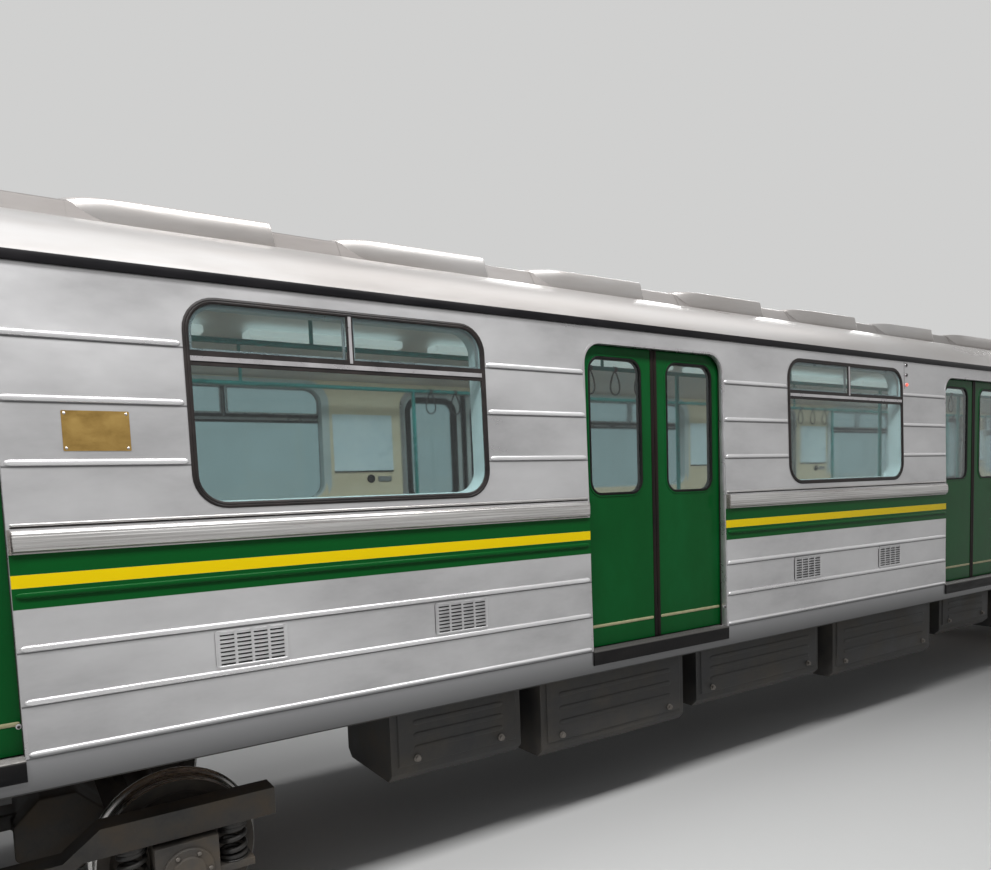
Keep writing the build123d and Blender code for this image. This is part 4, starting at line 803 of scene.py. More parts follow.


# Louvred grilles. A stamped plate with round corners is screwed low on the wall over the heater intake;
# four columns of eight louvres are cut in it and pressed out into small hoods over the slots. Each slot
# is shown as a dark plate: painted shade in the opening.
GRILLES_X, GRILLE_Z = [middle + o for middle in (-4.35, 0.0, 4.35) for o in (-0.584, 0.584)], 1.517
GRILLE_WIDE, GRILLE_HIGH, GRILLE_CORNER, GRILLE_PLATE = 0.345, 0.180, 0.016, 0.0045
GRILLE_RIM = [(0.0, 0.0), (0.0, 0.0055), (-0.004, 0.007), (-0.009, 0.0055), (-0.010, 0.004)]
LOUVRE_COLUMNS, LOUVRE_ROWS, LOUVRE_WIDE, LOUVRE_PROUD = 4, 8, 0.071, 0.0075
STEP_X, STEP_Z = (GRILLE_WIDE - 0.030) / LOUVRE_COLUMNS, (GRILLE_HIGH - 0.024) / LOUVRE_ROWS
LOUVRE_HIGH, LOUVRE_UP, SLOT_LOW, SLOT_HIGH = STEP_Z * 0.58, STEP_Z * 0.18, STEP_Z * 0.46, STEP_Z * 0.06
SLOT_HALF, SLOT_CORNER, SLOT_PROUD = LOUVRE_WIDE / 2 - 0.002, 0.0035, 0.0006
LOUVRE_FALL = np.array([(0.5, -0.0005), (0.5, 1.0), (0.36, 1.0), (0.1, 0.72), (-0.2, 0.34), (-0.5, -0.0005)])


def ring_on(place, box, corner, profile, steps=CORNER_STEPS):
    """A section of (outwards from the outline, out of the face) carried round a round-cornered box."""
    lines = [place(rounded(*box, corner, grow, steps), out) for grow, out in profile]
    return surface(np.stack(lines), round_u=True, round_v=True)


def louvre():
    """A pressed hood as grids of x, z and out: across it the section falls from the proud upper lip to
    the plate along a quarter wave, and towards its two ends it sinks as a half sine does."""
    u = np.linspace(-1, 1, 9)
    swell = np.cos(u * np.pi / 2) ** 0.35
    swell[[0, -1]] = 0.02
    z = LOUVRE_FALL[:, 0] * LOUVRE_HIGH
    return (u * LOUVRE_WIDE / 2)[:, None], z[None], swell[:, None] * LOUVRE_FALL[:, 1] * LOUVRE_PROUD


slot_dark = finish("slot_dark", [(0.004, 0.004, 0.004), (0.012, 0.011, 0.010)], (0.7, 0.9), 0.0, (20, 20, 20))
hood_x, hood_z, hood_out = louvre()
columns = (np.arange(LOUVRE_COLUMNS) - (LOUVRE_COLUMNS - 1) / 2) * STEP_X
levels = GRILLE_Z + (np.arange(LOUVRE_ROWS) - (LOUVRE_ROWS - 1) / 2) * STEP_Z
parts = []
for x in GRILLES_X:
    box = (x - GRILLE_WIDE / 2, x + GRILLE_WIDE / 2, GRILLE_Z - GRILLE_HIGH / 2, GRILLE_Z + GRILLE_HIGH / 2)
    parts.append((tablet(on_side, box, GRILLE_CORNER, GRILLE_PLATE, -SUNK, 4), 0))
    parts.append((ring_on(on_side, box, GRILLE_CORNER, GRILLE_RIM, 4), 0))
    for cx in x + columns:
        for cz in levels:
            hood = lie_on_side(cx + hood_x, cz + LOUVRE_UP + hood_z, GRILLE_PLATE + hood_out)
            slot = (cx - SLOT_HALF, cx + SLOT_HALF, cz - SLOT_LOW, cz - SLOT_HIGH)
            parts.append((bar(hood), 0))
            # The dark plate in each slot is painted shade where the opening is.
            dark = tablet(on_side, slot, SLOT_CORNER, GRILLE_PLATE + SLOT_PROUD, GRILLE_PLATE - SUNK)
            parts.append((dark, 1))
piece("louvred_grilles", parts, [body_steel, slot_dark], ["side_grilles"], both=True)


# Signal lamps. Three small round lenses stand one over the other beside the middle window, in bright
# rings: the upper two dark, the lowest red and lit. The joint of two wall sheets runs down beside them.
LAMP_X, LAMP_HEIGHTS = 0.866, (3.175, 3.090, 3.005)
LENS = [(0.0135, -0.001), (0.0135, 0.006), (0.012, 0.010), (0.0085, 0.0125), (0.003, 0.0138)]
LAMP_RING = [(0.018, -0.001), (0.018, 0.004), (0.0165, 0.006), (0.0135, 0.006), (0.0135, -0.001)]
JOINT, JOINT_CORNER, JOINT_PROUD = (LAMP_X - 0.032, LAMP_X - 0.028, 2.97, 3.206), 0.001, 0.0006

dark_lens = finish(
    "dark_lens", [(0.010, 0.008, 0.008), (0.02, 0.015, 0.015)], (0.08, 0.16), 0.0, (40, 40, 40),
    (300, 0.00005),
)
red_lens = finish(
    "red_lens", [(0.55, 0.02, 0.02), (0.75, 0.05, 0.04)], (0.1, 0.2), 0.0, (40, 40, 40), (300, 0.00005),
)
shaded(red_lens, {"Emission Color": (1.0, 0.06, 0.03, 1), "Emission Strength": 2.5})
parts = []
for z, material in zip(LAMP_HEIGHTS, (0, 0, 1)):
    for profile, number in ((LENS, material), (LAMP_RING, 2)):
        parts.append((turned(profile, on_side(np.array([LAMP_X, z]), 0.0), (0, -1, LEAN), 20), number))
parts.append((tablet(on_side, JOINT, JOINT_CORNER, JOINT_PROUD, -SUNK, 2), 0))
piece("signal_lamps", parts, [dark_lens, red_lens, trim_steel], ["side_lamps"], both=True)


# Plate. A blank plate of sheet brass is riveted between the ribs beside the first wide window; it has
# tarnished in cloudy patches.
PLATE_BOX, PLATE_CORNER, PLATE_PROUD = (-5.66, -5.40, 2.442, 2.612), 0.004, 0.0025
RIVET, RIVET_IN, RIVET_FOOT = [(0.006, 0.0), (0.0055, 0.002), (0.003, 0.0035), (0.001, 0.0038)], 0.012, 0.002

brass = finish(
    "brass", [(0.24, 0.145, 0.038), (0.31, 0.195, 0.055), (0.35, 0.23, 0.070)], (0.3, 0.5), 0.75,
    (9, 9, 14), (500, 0.00012),
)
parts = [(tablet(on_side, PLATE_BOX, PLATE_CORNER, PLATE_PROUD, -SUNK), 0)]
for x in (PLATE_BOX[0] + RIVET_IN, PLATE_BOX[1] - RIVET_IN):
    for z in (PLATE_BOX[2] + RIVET_IN, PLATE_BOX[3] - RIVET_IN):
        parts.append((turned(RIVET, on_side(np.array([x, z]), RIVET_FOOT), (0, -1, LEAN), 12), 1))
piece("brass_plate", parts, [brass, trim_steel], both=True)


# Sills. A ribbed threshold plate lies on the side beam in each doorway, with a bright nosing and a dark
# lip down the outside.
SILL_BACK = [(-0.108, 1.1502), (-0.108, 1.168)]  # out of the skin, height
SILL_RIDGE = [(0.0, 1.168), (0.002, 1.170), (0.005, 1.170), (0.007, 1.168)]
SILL_RIDGES, RIDGE_FIRST, RIDGE_PITCH = 12, -0.100, 0.009
SILL_LIP = [
    (0.009, 1.170), (0.012, 1.166), (0.012, 1.150), (0.011, 1.080), (0.008, 1.077), (0.0004, 1.077),
    (0.0004, 1.1502),
]
SILL_WORN, SILL_PLAY = (1.162, 1.172, 0.004), 0.0002

sill_dark = finish(
    "sill_dark", [(0.0015, 0.0015, 0.002), (0.010, 0.009, 0.009)], (0.30, 0.60), 0.0, (3, 20, 20),
    (60, 0.0010), None, 0.15,
)
worn = height_band(sill_dark, *SILL_WORN)
over(sill_dark, worn, {"Base Color": (0.115, 0.11, 0.105), "Metallic": 0.7, "Roughness": 0.3})
ridges = [(RIDGE_FIRST + k * RIDGE_PITCH + y, z) for k in range(SILL_RIDGES) for y, z in SILL_RIDGE]
out, height = np.array(SILL_BACK + ridges + SILL_LIP).T
parts = []
for x in DOORS:
    ends = np.array([x - DOOR_HALF + SILL_PLAY, x + DOOR_HALF - SILL_PLAY])
    parts.append((bar(lie_on_side(ends[:, None], height[None], out[None])), 0))
piece("door_sills_ribbed", parts, [sill_dark], ["door_sills"], crease=25, both=True)


# End walls. Flat steel sheet with bevelled outer edges, a doorway to the next car and two windows. The
# black channels that the side doors hang from run inside, over the doorways.
end_steel = finish(
    "end_steel", [(0.40, 0.395, 0.39), (0.50, 0.495, 0.49), (0.56, 0.555, 0.55)], (0.36, 0.55), 0.5,
    (1.5, 1.5, 0.5), (700, 0.00006), (1.1, 0.004),
)
softened("end_walls", 0.006, end_steel)
dress("door_rails", under_paint)


# Roof. Steel sheet rolled to a flat crown and tight cantrails, welded along the tops of the walls and
# covered in grey paint with a metallic sheen, a little uneven from dust and wear.
CROWN_TOP, CROWN_RADIUS, CANTRAIL_RADIUS, ROOF_THICK = 3.64, 4.0, 0.62, 0.04
CROWN_Z = CROWN_TOP - CROWN_RADIUS
ARCH_STEPS, CROWN_STEPS = 26, 40


def both_ways(half):
    """Half an outline of (y, height), from its foot to the middle of the car, and its mirror image."""
    return np.concatenate([half, half[-2::-1] * (-1, 1)])


def arch(inset):
    """Roof arch moved in by inset, as (y, height) from one wall top over the crown to the other: a
    crown circle about (0, top - radius) that runs into a tighter circle through the wall's top."""
    wall = np.array([SKIN_Y - LEAN * (WALL_TOP - LEAN_START), WALL_TOP - CROWN_Z])
    reach = np.linalg.norm(wall)
    inner = CROWN_RADIUS - CANTRAIL_RADIUS
    along = (inner**2 - CANTRAIL_RADIUS**2 + reach**2) / (2 * reach)
    aside = np.sqrt(inner**2 - along**2)
    y, z = wall / reach
    tight_y, tight_z = along * y - aside * z, CROWN_Z + along * z + aside * y
    turn = np.arctan2(tight_z - CROWN_Z, tight_y)
    r = CANTRAIL_RADIUS - inset
    side = arc(tight_y, tight_z, r, np.arcsin((WALL_TOP - tight_z) / r), turn, ARCH_STEPS)
    crown = arc(0.0, CROWN_Z, CROWN_RADIUS - inset, turn, np.pi / 2, CROWN_STEPS)
    return both_ways(np.concatenate([side, crown[1:]]))


def run_along(section, stations=(-WALL_HALF, 0.0, WALL_HALF)):
    """A closed (y, height) section carried straight along the car through the stations."""
    x, y, z = np.broadcast_arrays(np.array(stations)[:, None], section[:, 0], section[:, 1] + RAIL_HEAD)
    return bar(np.stack([x, y, z], -1))


def roof_finish(name, tones):
    """The roof's paint in other tones."""
    return finish(name, tones, (0.25, 0.40), 0.75, (0.5, 2.2, 2.2), (250, 0.00004), (2.2, 0.004), 0.4)


roof_paint = roof_finish("roof_paint", [(0.36, 0.335, 0.32), (0.41, 0.39, 0.378), (0.45, 0.44, 0.435)])
roof = run_along(np.concatenate([arch(0.0), arch(ROOF_THICK)[::-1]]))
piece("roof_sheet", [(roof, 0)], [roof_paint], ["roof"])


# Roof duct. A raised sheet-metal duct along the middle of the roof, with leaning sides and rounded
# shoulders, made of lengths that overlap in narrow cover straps.
DUCT_HALF, DUCT_SIDE, DUCT_TOP, DUCT_EDGE, DUCT_END, DUCT_SUNK = 0.862, 0.113, 3.664, 0.05, 8.965, 0.02
DUCT_LEAN, DUCT_BEND = 0.55, 1.40  # radians
DUCT_JOINTS, STRAP_HALF, STRAP_THICK = (np.arange(13) - 6) * 1.35 - 0.12, 0.018, 0.0022


def duct_section(grow=0.0):
    """Duct as a (y, height) outline: sides that lean in by an angle and run into round shoulders, and a
    flat arch on top."""
    base = CROWN_Z + np.sqrt(CROWN_RADIUS**2 - DUCT_HALF**2)
    z = base + DUCT_SIDE + grow - DUCT_EDGE
    y = DUCT_HALF + grow - (z + DUCT_EDGE * np.sin(DUCT_LEAN) - base) * np.tan(DUCT_LEAN)
    side = arc(y - DUCT_EDGE * np.cos(DUCT_LEAN), z, DUCT_EDGE, DUCT_LEAN, DUCT_BEND, 8)
    t = np.linspace(0, 1, 14)[1:]
    y, z = side[-1]
    top = np.stack([y * (1 - t), z + (DUCT_TOP + grow - z) * np.sin(t * np.pi / 2)], 1)
    foot = (DUCT_HALF + grow + DUCT_SUNK * np.tan(DUCT_LEAN), base - DUCT_SUNK)
    return both_ways(np.concatenate([[foot], side, top]))


# The duct's paint is a darker copy of the roof's: painted shade where it lies low between the hoods.
duct_paint_shaded = roof_finish("duct_paint_shaded", [(0.215, 0.197, 0.187), (0.245, 0.227, 0.217), (0.275, 0.262, 0.255)])
parts = [(run_along(duct_section(), (-DUCT_END, 0.0, DUCT_END)), 0)]
for x in DUCT_JOINTS:
    parts.append((run_along(duct_section(STRAP_THICK), (x - STRAP_HALF, x + STRAP_HALF)), 0))
piece("roof_duct_sheet", parts, [duct_paint_shaded], ["roof_duct"], crease=12)


# Ventilation hoods. Pressed sheet bonnets in a row along each shoulder of the duct, with a round closed
# nose and a raked open mouth; the intake behind is dark mesh.
HOODS = [(-8.311 + k * 1.35, 0, 0) for k in range(13)]
HOOD_LONG, HOOD_Y0, HOOD_Y1, HOOD_NOSE = 1.06, -0.872, -0.520, 0.36
HOOD_FOOT, HOOD_TOPS, HOOD_ARCH, HOOD_DRAFT = 3.520, (3.671, 3.680), 0.004, 0.135
HOOD_EDGE, HOOD_NOSE_EDGE, HOOD_SHEET = 0.013, 0.022, 0.004
MOUTH_RAKE, MOUTH_ROUND, MOUTH_ROWS = 0.020, 0.022, (0.0, 0.004, 0.03)
SCREEN_BACK, SCREEN_THICK, SCREEN_FOOT, SCREEN_HEAD = 0.15, 0.004, (0.006, 3.50), (0.0345, 3.668)


def hood_top(x):
    """Height of a hood's top, which rises evenly from nose to mouth."""
    return HOOD_TOPS[0] + (HOOD_TOPS[1] - HOOD_TOPS[0]) * np.clip(x / HOOD_LONG, 0, 1)


def hood_lines():
    """A hood with its nose at x = 0, as rows along its plan outline and columns up its side, over the
    round edge and in to the middle line. The sides lean in by the draft. The mouth is moved back by
    (share of the length)^3 * (rake * rise + round * rise^8), with rise from 0 at the foot to 1."""
    half_wide = (HOOD_Y1 - HOOD_Y0) / 2
    straight = np.linspace(HOOD_LONG - MOUTH_ROWS[2], HOOD_NOSE, 11)
    straight = np.append([HOOD_LONG - MOUTH_ROWS[0], HOOD_LONG - MOUTH_ROWS[1]], straight)
    near = np.stack([straight, 0 * straight - half_wide], 1)
    nose = np.linspace(-np.pi / 2, -3 * np.pi / 2, 25)[1:-1]
    bow = np.stack([HOOD_NOSE + HOOD_NOSE * np.cos(nose), half_wide * np.sin(nose)], 1)
    plan = np.concatenate([near, bow, near[::-1] * (1, -1)])
    heart = np.stack([np.maximum(plan[:, 0], HOOD_NOSE), 0 * plan[:, 1]], 1)
    inward = heart - plan
    inward /= np.linalg.norm(inward, axis=1)[:, None]
    edge = HOOD_EDGE + (HOOD_NOSE_EDGE - HOOD_EDGE) * np.clip(1 - plan[:, 0] / HOOD_NOSE, 0, 1) ** 2
    angle = np.linspace(0, np.pi / 2, 6)
    heights = [np.full(len(plan), HOOD_FOOT)]
    heights += [hood_top(plan[:, 0]) + edge * lift for lift in (*(np.sin(angle) - 1), 0.0, 0.0)]
    rows = []
    for move, z in zip((0.0, *(1 - np.cos(angle)), 1.25, 1.5), heights):
        flat = plan + inward * (edge * move + HOOD_DRAFT * (z - HOOD_FOOT))[:, None]
        rows.append(np.column_stack([flat, z]))
    rows.append(np.column_stack([heart, hood_top(heart[:, 0]) + HOOD_ARCH]))
    grid = np.stack(rows, 1)
    back = np.clip((grid[..., 0] - HOOD_NOSE) / (HOOD_LONG - HOOD_NOSE), 0, 1)
    rise = np.clip((grid[..., 2] - HOOD_FOOT) / (HOOD_TOPS[1] - HOOD_FOOT), 0, 1)
    grid[..., 0] -= back**3 * (MOUTH_RAKE * rise + MOUTH_ROUND * rise**8)
    return grid + (0, (HOOD_Y0 + HOOD_Y1) / 2, RAIL_HEAD)


shells = [(copies(surface(hood_lines()), HOODS), 0)]
bonnets = piece(
    "roof_hoods_bonnets", shells, [roof_paint], ["roof_hoods"], crease=50, both=True,
)
sheet = bonnets.modifiers.new("sheet", "SOLIDIFY")
sheet.thickness, sheet.offset = HOOD_SHEET, -1.0
corners = np.array([
    (HOOD_LONG - SCREEN_BACK, y, z + RAIL_HEAD) for y, z in (
        (HOOD_Y0 + SCREEN_FOOT[0], SCREEN_FOOT[1]), (HOOD_Y1 - SCREEN_FOOT[0], SCREEN_FOOT[1]),
        (HOOD_Y1 - SCREEN_HEAD[0], SCREEN_HEAD[1]), (HOOD_Y0 + SCREEN_HEAD[0], SCREEN_HEAD[1]),
    )
])
screen = bar(np.stack([corners, corners - (SCREEN_THICK, 0, 0)]))
piece("roof_hood_screens", [(copies(screen, HOODS), 0)], [slot_dark], both=True)


# Windows. Each pane sits in a black rubber section round its hole; an aluminium transom and a short
# mullion hold the two hopper vents above. A moulded pale reveal joins each hole to the lining.
RUBBER = [  # outwards from the outline, out of the skin
    (-0.001, -0.001), (0.001, 0.003), (-0.003, 0.006), (-0.010, 0.007), (-0.0135, 0.0048), (-0.017, 0.007),
    (-0.024, 0.006), (-0.028, 0.003), (-0.029, -0.009),
]
REVEAL = [
    (-0.016, -0.040), (-0.016, -0.009), (-0.026, -0.009), (-0.030, -0.040), (-0.034, -0.119),
    (0.030, -0.122), (0.030, -0.110), (-0.016, -0.105),
]
TRANSOM_Z, RUBBER_WIDE, MULLION_FOOT, BAR_DEPTH = 2.86, 0.026, 2.88, -0.010
TRANSOM = ((2.863, 0.034, 0.003, 0), (2.86, 0.011, 0.007, 1))  # height, half height, proud, material
MULLION = ((0.018, 0.0025, 0), (0.008, 0.006, 1))  # half width, proud, material
HOPPER = [(0.0, -0.021), (-0.013, -0.021), (-0.013, -0.033), (0.0, -0.033)]
HOPPER_IN, HOPPER_UP, HOPPER_ASIDE = 0.030, 0.036, 0.019


def block(x0, x1, z0, z1, proud):
    """A flat bar on the first side between two lengths and two heights."""
    edge = np.array([(x0, z0), (x1, z0), (x1, z1), (x0, z1)])
    return bar(np.stack([on_side(edge, proud), on_side(edge, BAR_DEPTH)]))


def hopper(x, wide, side):
    """The frame of a vent, round the window's outline cut off over the transom and beside the mullion.
    The corner that falls together there keeps its first point only."""
    lines, corner = [], CORNER_STEPS * (2 if side > 0 else 3)
    for grow, out in HOPPER:
        line = rounded(*window_box(x, wide), WINDOW_CORNER, grow - HOPPER_IN)
        line[:, 1] = np.maximum(line[:, 1], TRANSOM_Z + HOPPER_UP - grow)
        line[:, 0] = side * np.maximum(side * line[:, 0], side * x + HOPPER_ASIDE - grow)
        lines.append(on_side(np.delete(line, slice(corner + 1, corner + CORNER_STEPS), 0), out))
    return surface(np.stack(lines), round_u=True, round_v=True)


def clear_glass(name, tint):
    """Glass with a faint tint and a trace of dust in its roughness."""
    tones = [tint, tuple(0.93 * c for c in tint)]
    glass = finish(name, tones, (0.015, 0.06), 0.0, (3, 3, 3), (20, 0.00002))
    return shaded(glass, {"Transmission Weight": 1.0, "IOR": 1.45})


parts = []
for x, wide in WINDOWS:
    parts.append((ring_on(on_side, window_box(x, wide), WINDOW_CORNER, RUBBER), 0))
    half = wide / 2 - RUBBER_WIDE
    for z, high, proud, material in TRANSOM:
        parts.append((block(x - half, x + half, z - high, z + high, proud), material))
    for half, proud, material in MULLION:
        parts.append((block(x - half, x + half, MULLION_FOOT, WINDOW_HIGH - RUBBER_WIDE, proud), material))
    parts += [(hopper(x, wide, side), 1) for side in (-1, 1)]
piece("window_rubbers", parts, [rubber, trim_steel], ["window_frames"], both=True)

reveal_paint = finish(
    "reveal_paint", [(0.40, 0.46, 0.46), (0.47, 0.53, 0.53)], (0.35, 0.5), 0.0, (5, 5, 5), (400, 0.0002),
)
parts = [(ring_on(on_side, window_box(x, wide), WINDOW_CORNER, REVEAL), 0) for x, wide in WINDOWS]
piece("window_reveals", parts, [reveal_paint], both=True)
dress("window_glass", clear_glass("window_glass_tint", (0.48, 0.60, 0.61)))
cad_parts["window_glass"].visible_shadow = False


# Lining and ceiling. Laminate panels in beige line the walls, with blank boards, speaking plates and
# metal strips round the doorways. The arched ceiling is painted white and carries two rows of opal covers.
LINING_FACE, LINING_BACK, LINING_TOP, LINING_HOLE, FLOOR_TOP = 1.2, 1.216, 3.18, -0.02, 1.208
DOOR_TRIM = [(-0.002, 0.012), (-0.002, -0.006), (0.004, -0.009), (0.034, -0.006), (0.036, 0.001)]
BOARD_LOW, BOARD_HIGH, BOARD_LEAST, BOARD_FROM_DOOR, BOARD_FROM_WINDOW = 2.42, 2.90, 0.4, 0.12, 0.06
LEDGE_HIGH, MOUTHPIECE_DOWN, MOUTHPIECE_SHARE = 0.012, 0.07, 0.4
MOUTHPIECE = [(0.036, 0.0), (0.036, 0.010), (0.030, 0.014), (0.012, 0.012)]
TAG_SHARES, TAG_Z = (0.05, 0.28), (BOARD_LOW - 0.095, BOARD_LOW - 0.05)
CEILING_RISE, CEILING_THICK = 0.32, 0.012


def upright_face(y):
    """A function that gives points of the first side from (along, height) and a distance out from an
    upright face at y."""
    def place(flat, out):
        return np.stack([flat[..., 0], 0 * flat[..., 0] - y - out, flat[..., 1] + RAIL_HEAD], -1)

    return place


def ceiling_circle(inset):
    """Height of the middle, radius and half angle of the ceiling's circle, which runs through the tops
    of the linings and is moved in by inset: radius = (half width^2 + rise^2) / (2 * rise)."""
    half_wide, rise = LINING_BACK - inset, CEILING_RISE - inset
    radius = (half_wide**2 + rise**2) / (2 * rise)
    return LINING_TOP + rise - radius, radius, np.arcsin(half_wide / radius)


def ceiling_line(inset):
    """The ceiling's arc as (y, height), moved in by inset."""
    middle, radius, angle = ceiling_circle(inset)
    return arc(0.0, middle, radius, np.pi / 2 - angle, np.pi / 2 + angle, 40)


laminate = finish(
    "beige_laminate", [(0.60, 0.52, 0.37), (0.67, 0.60, 0.45)], (0.35, 0.5), 0.0, (2, 2, 6), (600, 0.00004),
)
on_lining = upright_face(LINING_FACE)
board_blue = finish("blank_board", [(0.56, 0.68, 0.72), (0.64, 0.75, 0.78)], (0.25, 0.4), 0.0, (3, 3, 3))
outline = [[-WALL_HALF, LINING_TOP], [-WALL_HALF, FLOOR_TOP]]
for x in DOORS:
    line = doorway(x)
    line[[0, -1], 1] = FLOOR_TOP
    outline += line.tolist()
outline += [[WALL_HALF, FLOOR_TOP], [WALL_HALF, LINING_TOP]]
holes = [rounded(*window_box(x, wide), WINDOW_CORNER, LINING_HOLE) for x, wide in WINDOWS]
parts = [(plate([np.array(outline), *holes], on_lining, LINING_BACK - LINING_FACE, 0.0), 0)]
for x in DOORS:
    parts.append((bar(np.stack([on_lining(doorway(x, grow), out) for grow, out in DOOR_TRIM], 1)), 1))
for start, end, (x, wide) in zip(panel_starts, panel_ends, WINDOWS):
    beside = wide / 2 + BOARD_FROM_WINDOW
    for x0, x1 in ((start + BOARD_FROM_DOOR, x - beside), (x + beside, end - BOARD_FROM_DOOR)):
        if x1 - x0 > BOARD_LEAST:
            along = MOUTHPIECE_SHARE * x1 + (1 - MOUTHPIECE_SHARE) * x0
            mouthpiece = on_lining(np.array([along, BOARD_LOW - MOUTHPIECE_DOWN]), SUNK)
            ledge = (x0, x1, BOARD_LOW - LEDGE_HIGH, BOARD_LOW)
            tag = (*((1 - share) * x0 + share * x1 for share in TAG_SHARES), *TAG_Z)
            parts += [
                (tablet(on_lining, (x0, x1, BOARD_LOW, BOARD_HIGH), 0.006, SUNK, -0.004, 2), 2),
                (tablet(on_lining, ledge, 0.002, SUNK, -0.008, 2), 3),
                (turned(MOUTHPIECE, mouthpiece, (0, 1, 0), 20), 3),
                (tablet(on_lining, tag, 0.006, SUNK, -0.010), 1),
            ]
materials = [laminate, trim_steel, board_blue, rubber]
piece("lining_panels", parts, materials, ["lining"], both=True)

ceiling_paint = finish(
    "ceiling_paint", [(0.70, 0.71, 0.71), (0.78, 0.79, 0.79)], (0.4, 0.55), 0.0, (1, 3, 3), (300, 0.0002),
)
ceiling = run_along(np.concatenate([ceiling_line(0.0), ceiling_line(CEILING_THICK)[::-1]]))
piece("ceiling_arch", [(ceiling, 0)], [ceiling_paint], ["ceiling"])
opal = finish(
    "opal_cover", [(0.80, 0.82, 0.80), (0.86, 0.87, 0.85)], (0.25, 0.4), 0.0, (6, 6, 6), (300, 0.0001),
)
shaded(opal, {"Emission Color": (0.93, 1.0, 0.98, 1), "Emission Strength": 0.45})
softened("ceiling_lights", 0.018, opal, segments=3)


# Benches. A steel base boxed in with laminate carries padded seats and backs of brown artificial
# leather over foam, each made in separate cushions that are crowned and pulled in along their seams.
BENCHES = [(x - 1.3765, x + 1.3765, 6) for x in (-4.35, 0.0, 4.35)]  # start, end, number of cushions
BENCHES += [(7.3235, 8.2835, 2), (-8.2835, -7.3235, 2)]
PADS = {  # across, heights, crown, whether it is sat on
    "seat_cushions": ((-1.1995, -0.7605), (1.5405, 1.657), 0.018, True),
    "seat_backs": ((-1.1995, -1.1205), (1.6585, 2.079), 0.014, False),
}
SEAM_HALF, PAD_SQUARE, PAD_EASE, CHANNEL_Y, CHANNEL_HALF, CHANNEL_DEEP = 0.001, 0.42, 1.4, 0.33, 0.10, 0.35


def cushion(x0, x1, ys, zs, crown, sat_on):
    """A closed pad: its section is a square-shouldered oval, shrunk towards both ends in the same way.
    A seat rises by crown in the middle and dips along two sewn channels; a back bulges outwards."""
    s = np.linspace(-1, 1, 15)[:, None]
    taper = np.maximum((1 - np.abs(s) ** 7) ** (1 / 7), 0.30)
    angle = np.arange(22) * 2 * np.pi / 22
    across, up = (np.sign(c) * np.abs(c) ** PAD_SQUARE for c in (np.cos(angle), np.sin(angle)))
    reach = 0.5 + 0.5 * taper
    half_wide, half_high = (ys[1] - ys[0]) / 2 * (1 - crown / PAD_EASE), (zs[1] - zs[0]) / 2
    y = (ys[0] + ys[1]) / 2 + half_wide * across * reach**0.25
    z = (zs[0] + zs[1]) / 2 + half_high * up * reach
    if sat_on:
        channels = sum(np.exp(-(((across - at) / CHANNEL_HALF) ** 2)) for at in (CHANNEL_Y, -CHANNEL_Y))
        z = z - crown * (up > 0) * (1 - (1 - s**2) * (1 - across**2))
        z = z - CHANNEL_DEEP * crown * (up > 0.5) * channels
    else:
        y = y - crown * (across > 0) * (1 - (1 - s**2) * (1 - up**2))
    x = (x0 + x1) / 2 + (x1 - x0) / 2 * s + 0 * y
    return bar(np.stack([x, y, z + RAIL_HEAD], -1))


leather = finish(
    "seat_leather", [(0.090, 0.034, 0.018), (0.14, 0.058, 0.030), (0.18, 0.085, 0.048)], (0.38, 0.55), 0.0,
    (5, 5, 5), (260, 0.0006),
)
for name, form in PADS.items():
    parts = []
    for x0, x1, count in BENCHES:
        long = (x1 - x0) / count
        for k in range(count):
            parts.append((cushion(x0 + k * long + SEAM_HALF, x0 + (k + 1) * long - SEAM_HALF, *form), 0))
    pads = piece(name + "_padded", parts, [leather], [name], crease=60, both=True)
dress("seat_frames", laminate)


# Handrails. Steel tube in teal enamel: a rail over the edge of each row of benches, hung from the ceiling,
# a pole at every bench end, and black strap loops that hang from the rail at the doorways.
RAIL_Y, RAIL_Z, RAIL_HALF, TUBE_RADIUS, TUBE_SIDES = 0.75, 3.06 + RAIL_HEAD, 9.025, 0.016, 14
POLE_GAP, HANGER_RADIUS, HANGER_SUNK = 0.034, 0.012, 0.0005
HANGERS = [(k * 2.175, 0, 0) for k in range(-4, 5)]
ROSETTE = [(0.036, -0.006), (0.036, -0.003), (0.030, 0.0)]
STRAPS = [(x + o, 0, 0) for x in DOORS for o in (-0.60, -0.36, -0.12, 0.12, 0.36, 0.60)]
STRAP_HALF_WIDE, STRAP_HALF_HIGH, STRAP_DROP, STRAP_BAR = 0.0416, 0.085, 0.10, 0.006
COLLAR = [(TUBE_RADIUS + 0.004, -0.014), (TUBE_RADIUS + 0.004, 0.014)]


def upright(*heights):
    """A path straight up through heights at the rail."""
    return [(0, -RAIL_Y, z) for z in heights]


teal = finish(
    "teal_enamel", [(0.010, 0.15, 0.14), (0.020, 0.22, 0.20)], (0.22, 0.38), 0.0, (4, 4, 4), (300, 0.0001),
    None, 0.5, 0.3,
)
strap_black = finish(
    "strap_black", [(0.008, 0.008, 0.009), (0.02, 0.02, 0.021)], (0.35, 0.55), 0.0, (30, 30, 30),
)
middle, radius, _ = ceiling_circle(CEILING_THICK)
ceiling_z = middle + np.sqrt(radius**2 - (RAIL_Y + TUBE_RADIUS) ** 2) + RAIL_HEAD - HANGER_SUNK
rail = tube([(x, -RAIL_Y, RAIL_Z) for x in (-RAIL_HALF, 0, RAIL_HALF)], TUBE_RADIUS, TUBE_SIDES)
pole = tube(upright(FLOOR_TOP + RAIL_HEAD, 2.0, RAIL_Z), TUBE_RADIUS, TUBE_SIDES)
hanger = tube(upright(RAIL_Z, ceiling_z - 0.004, ceiling_z), HANGER_RADIUS, 12)
angle = np.arange(18) * 2 * np.pi / 18
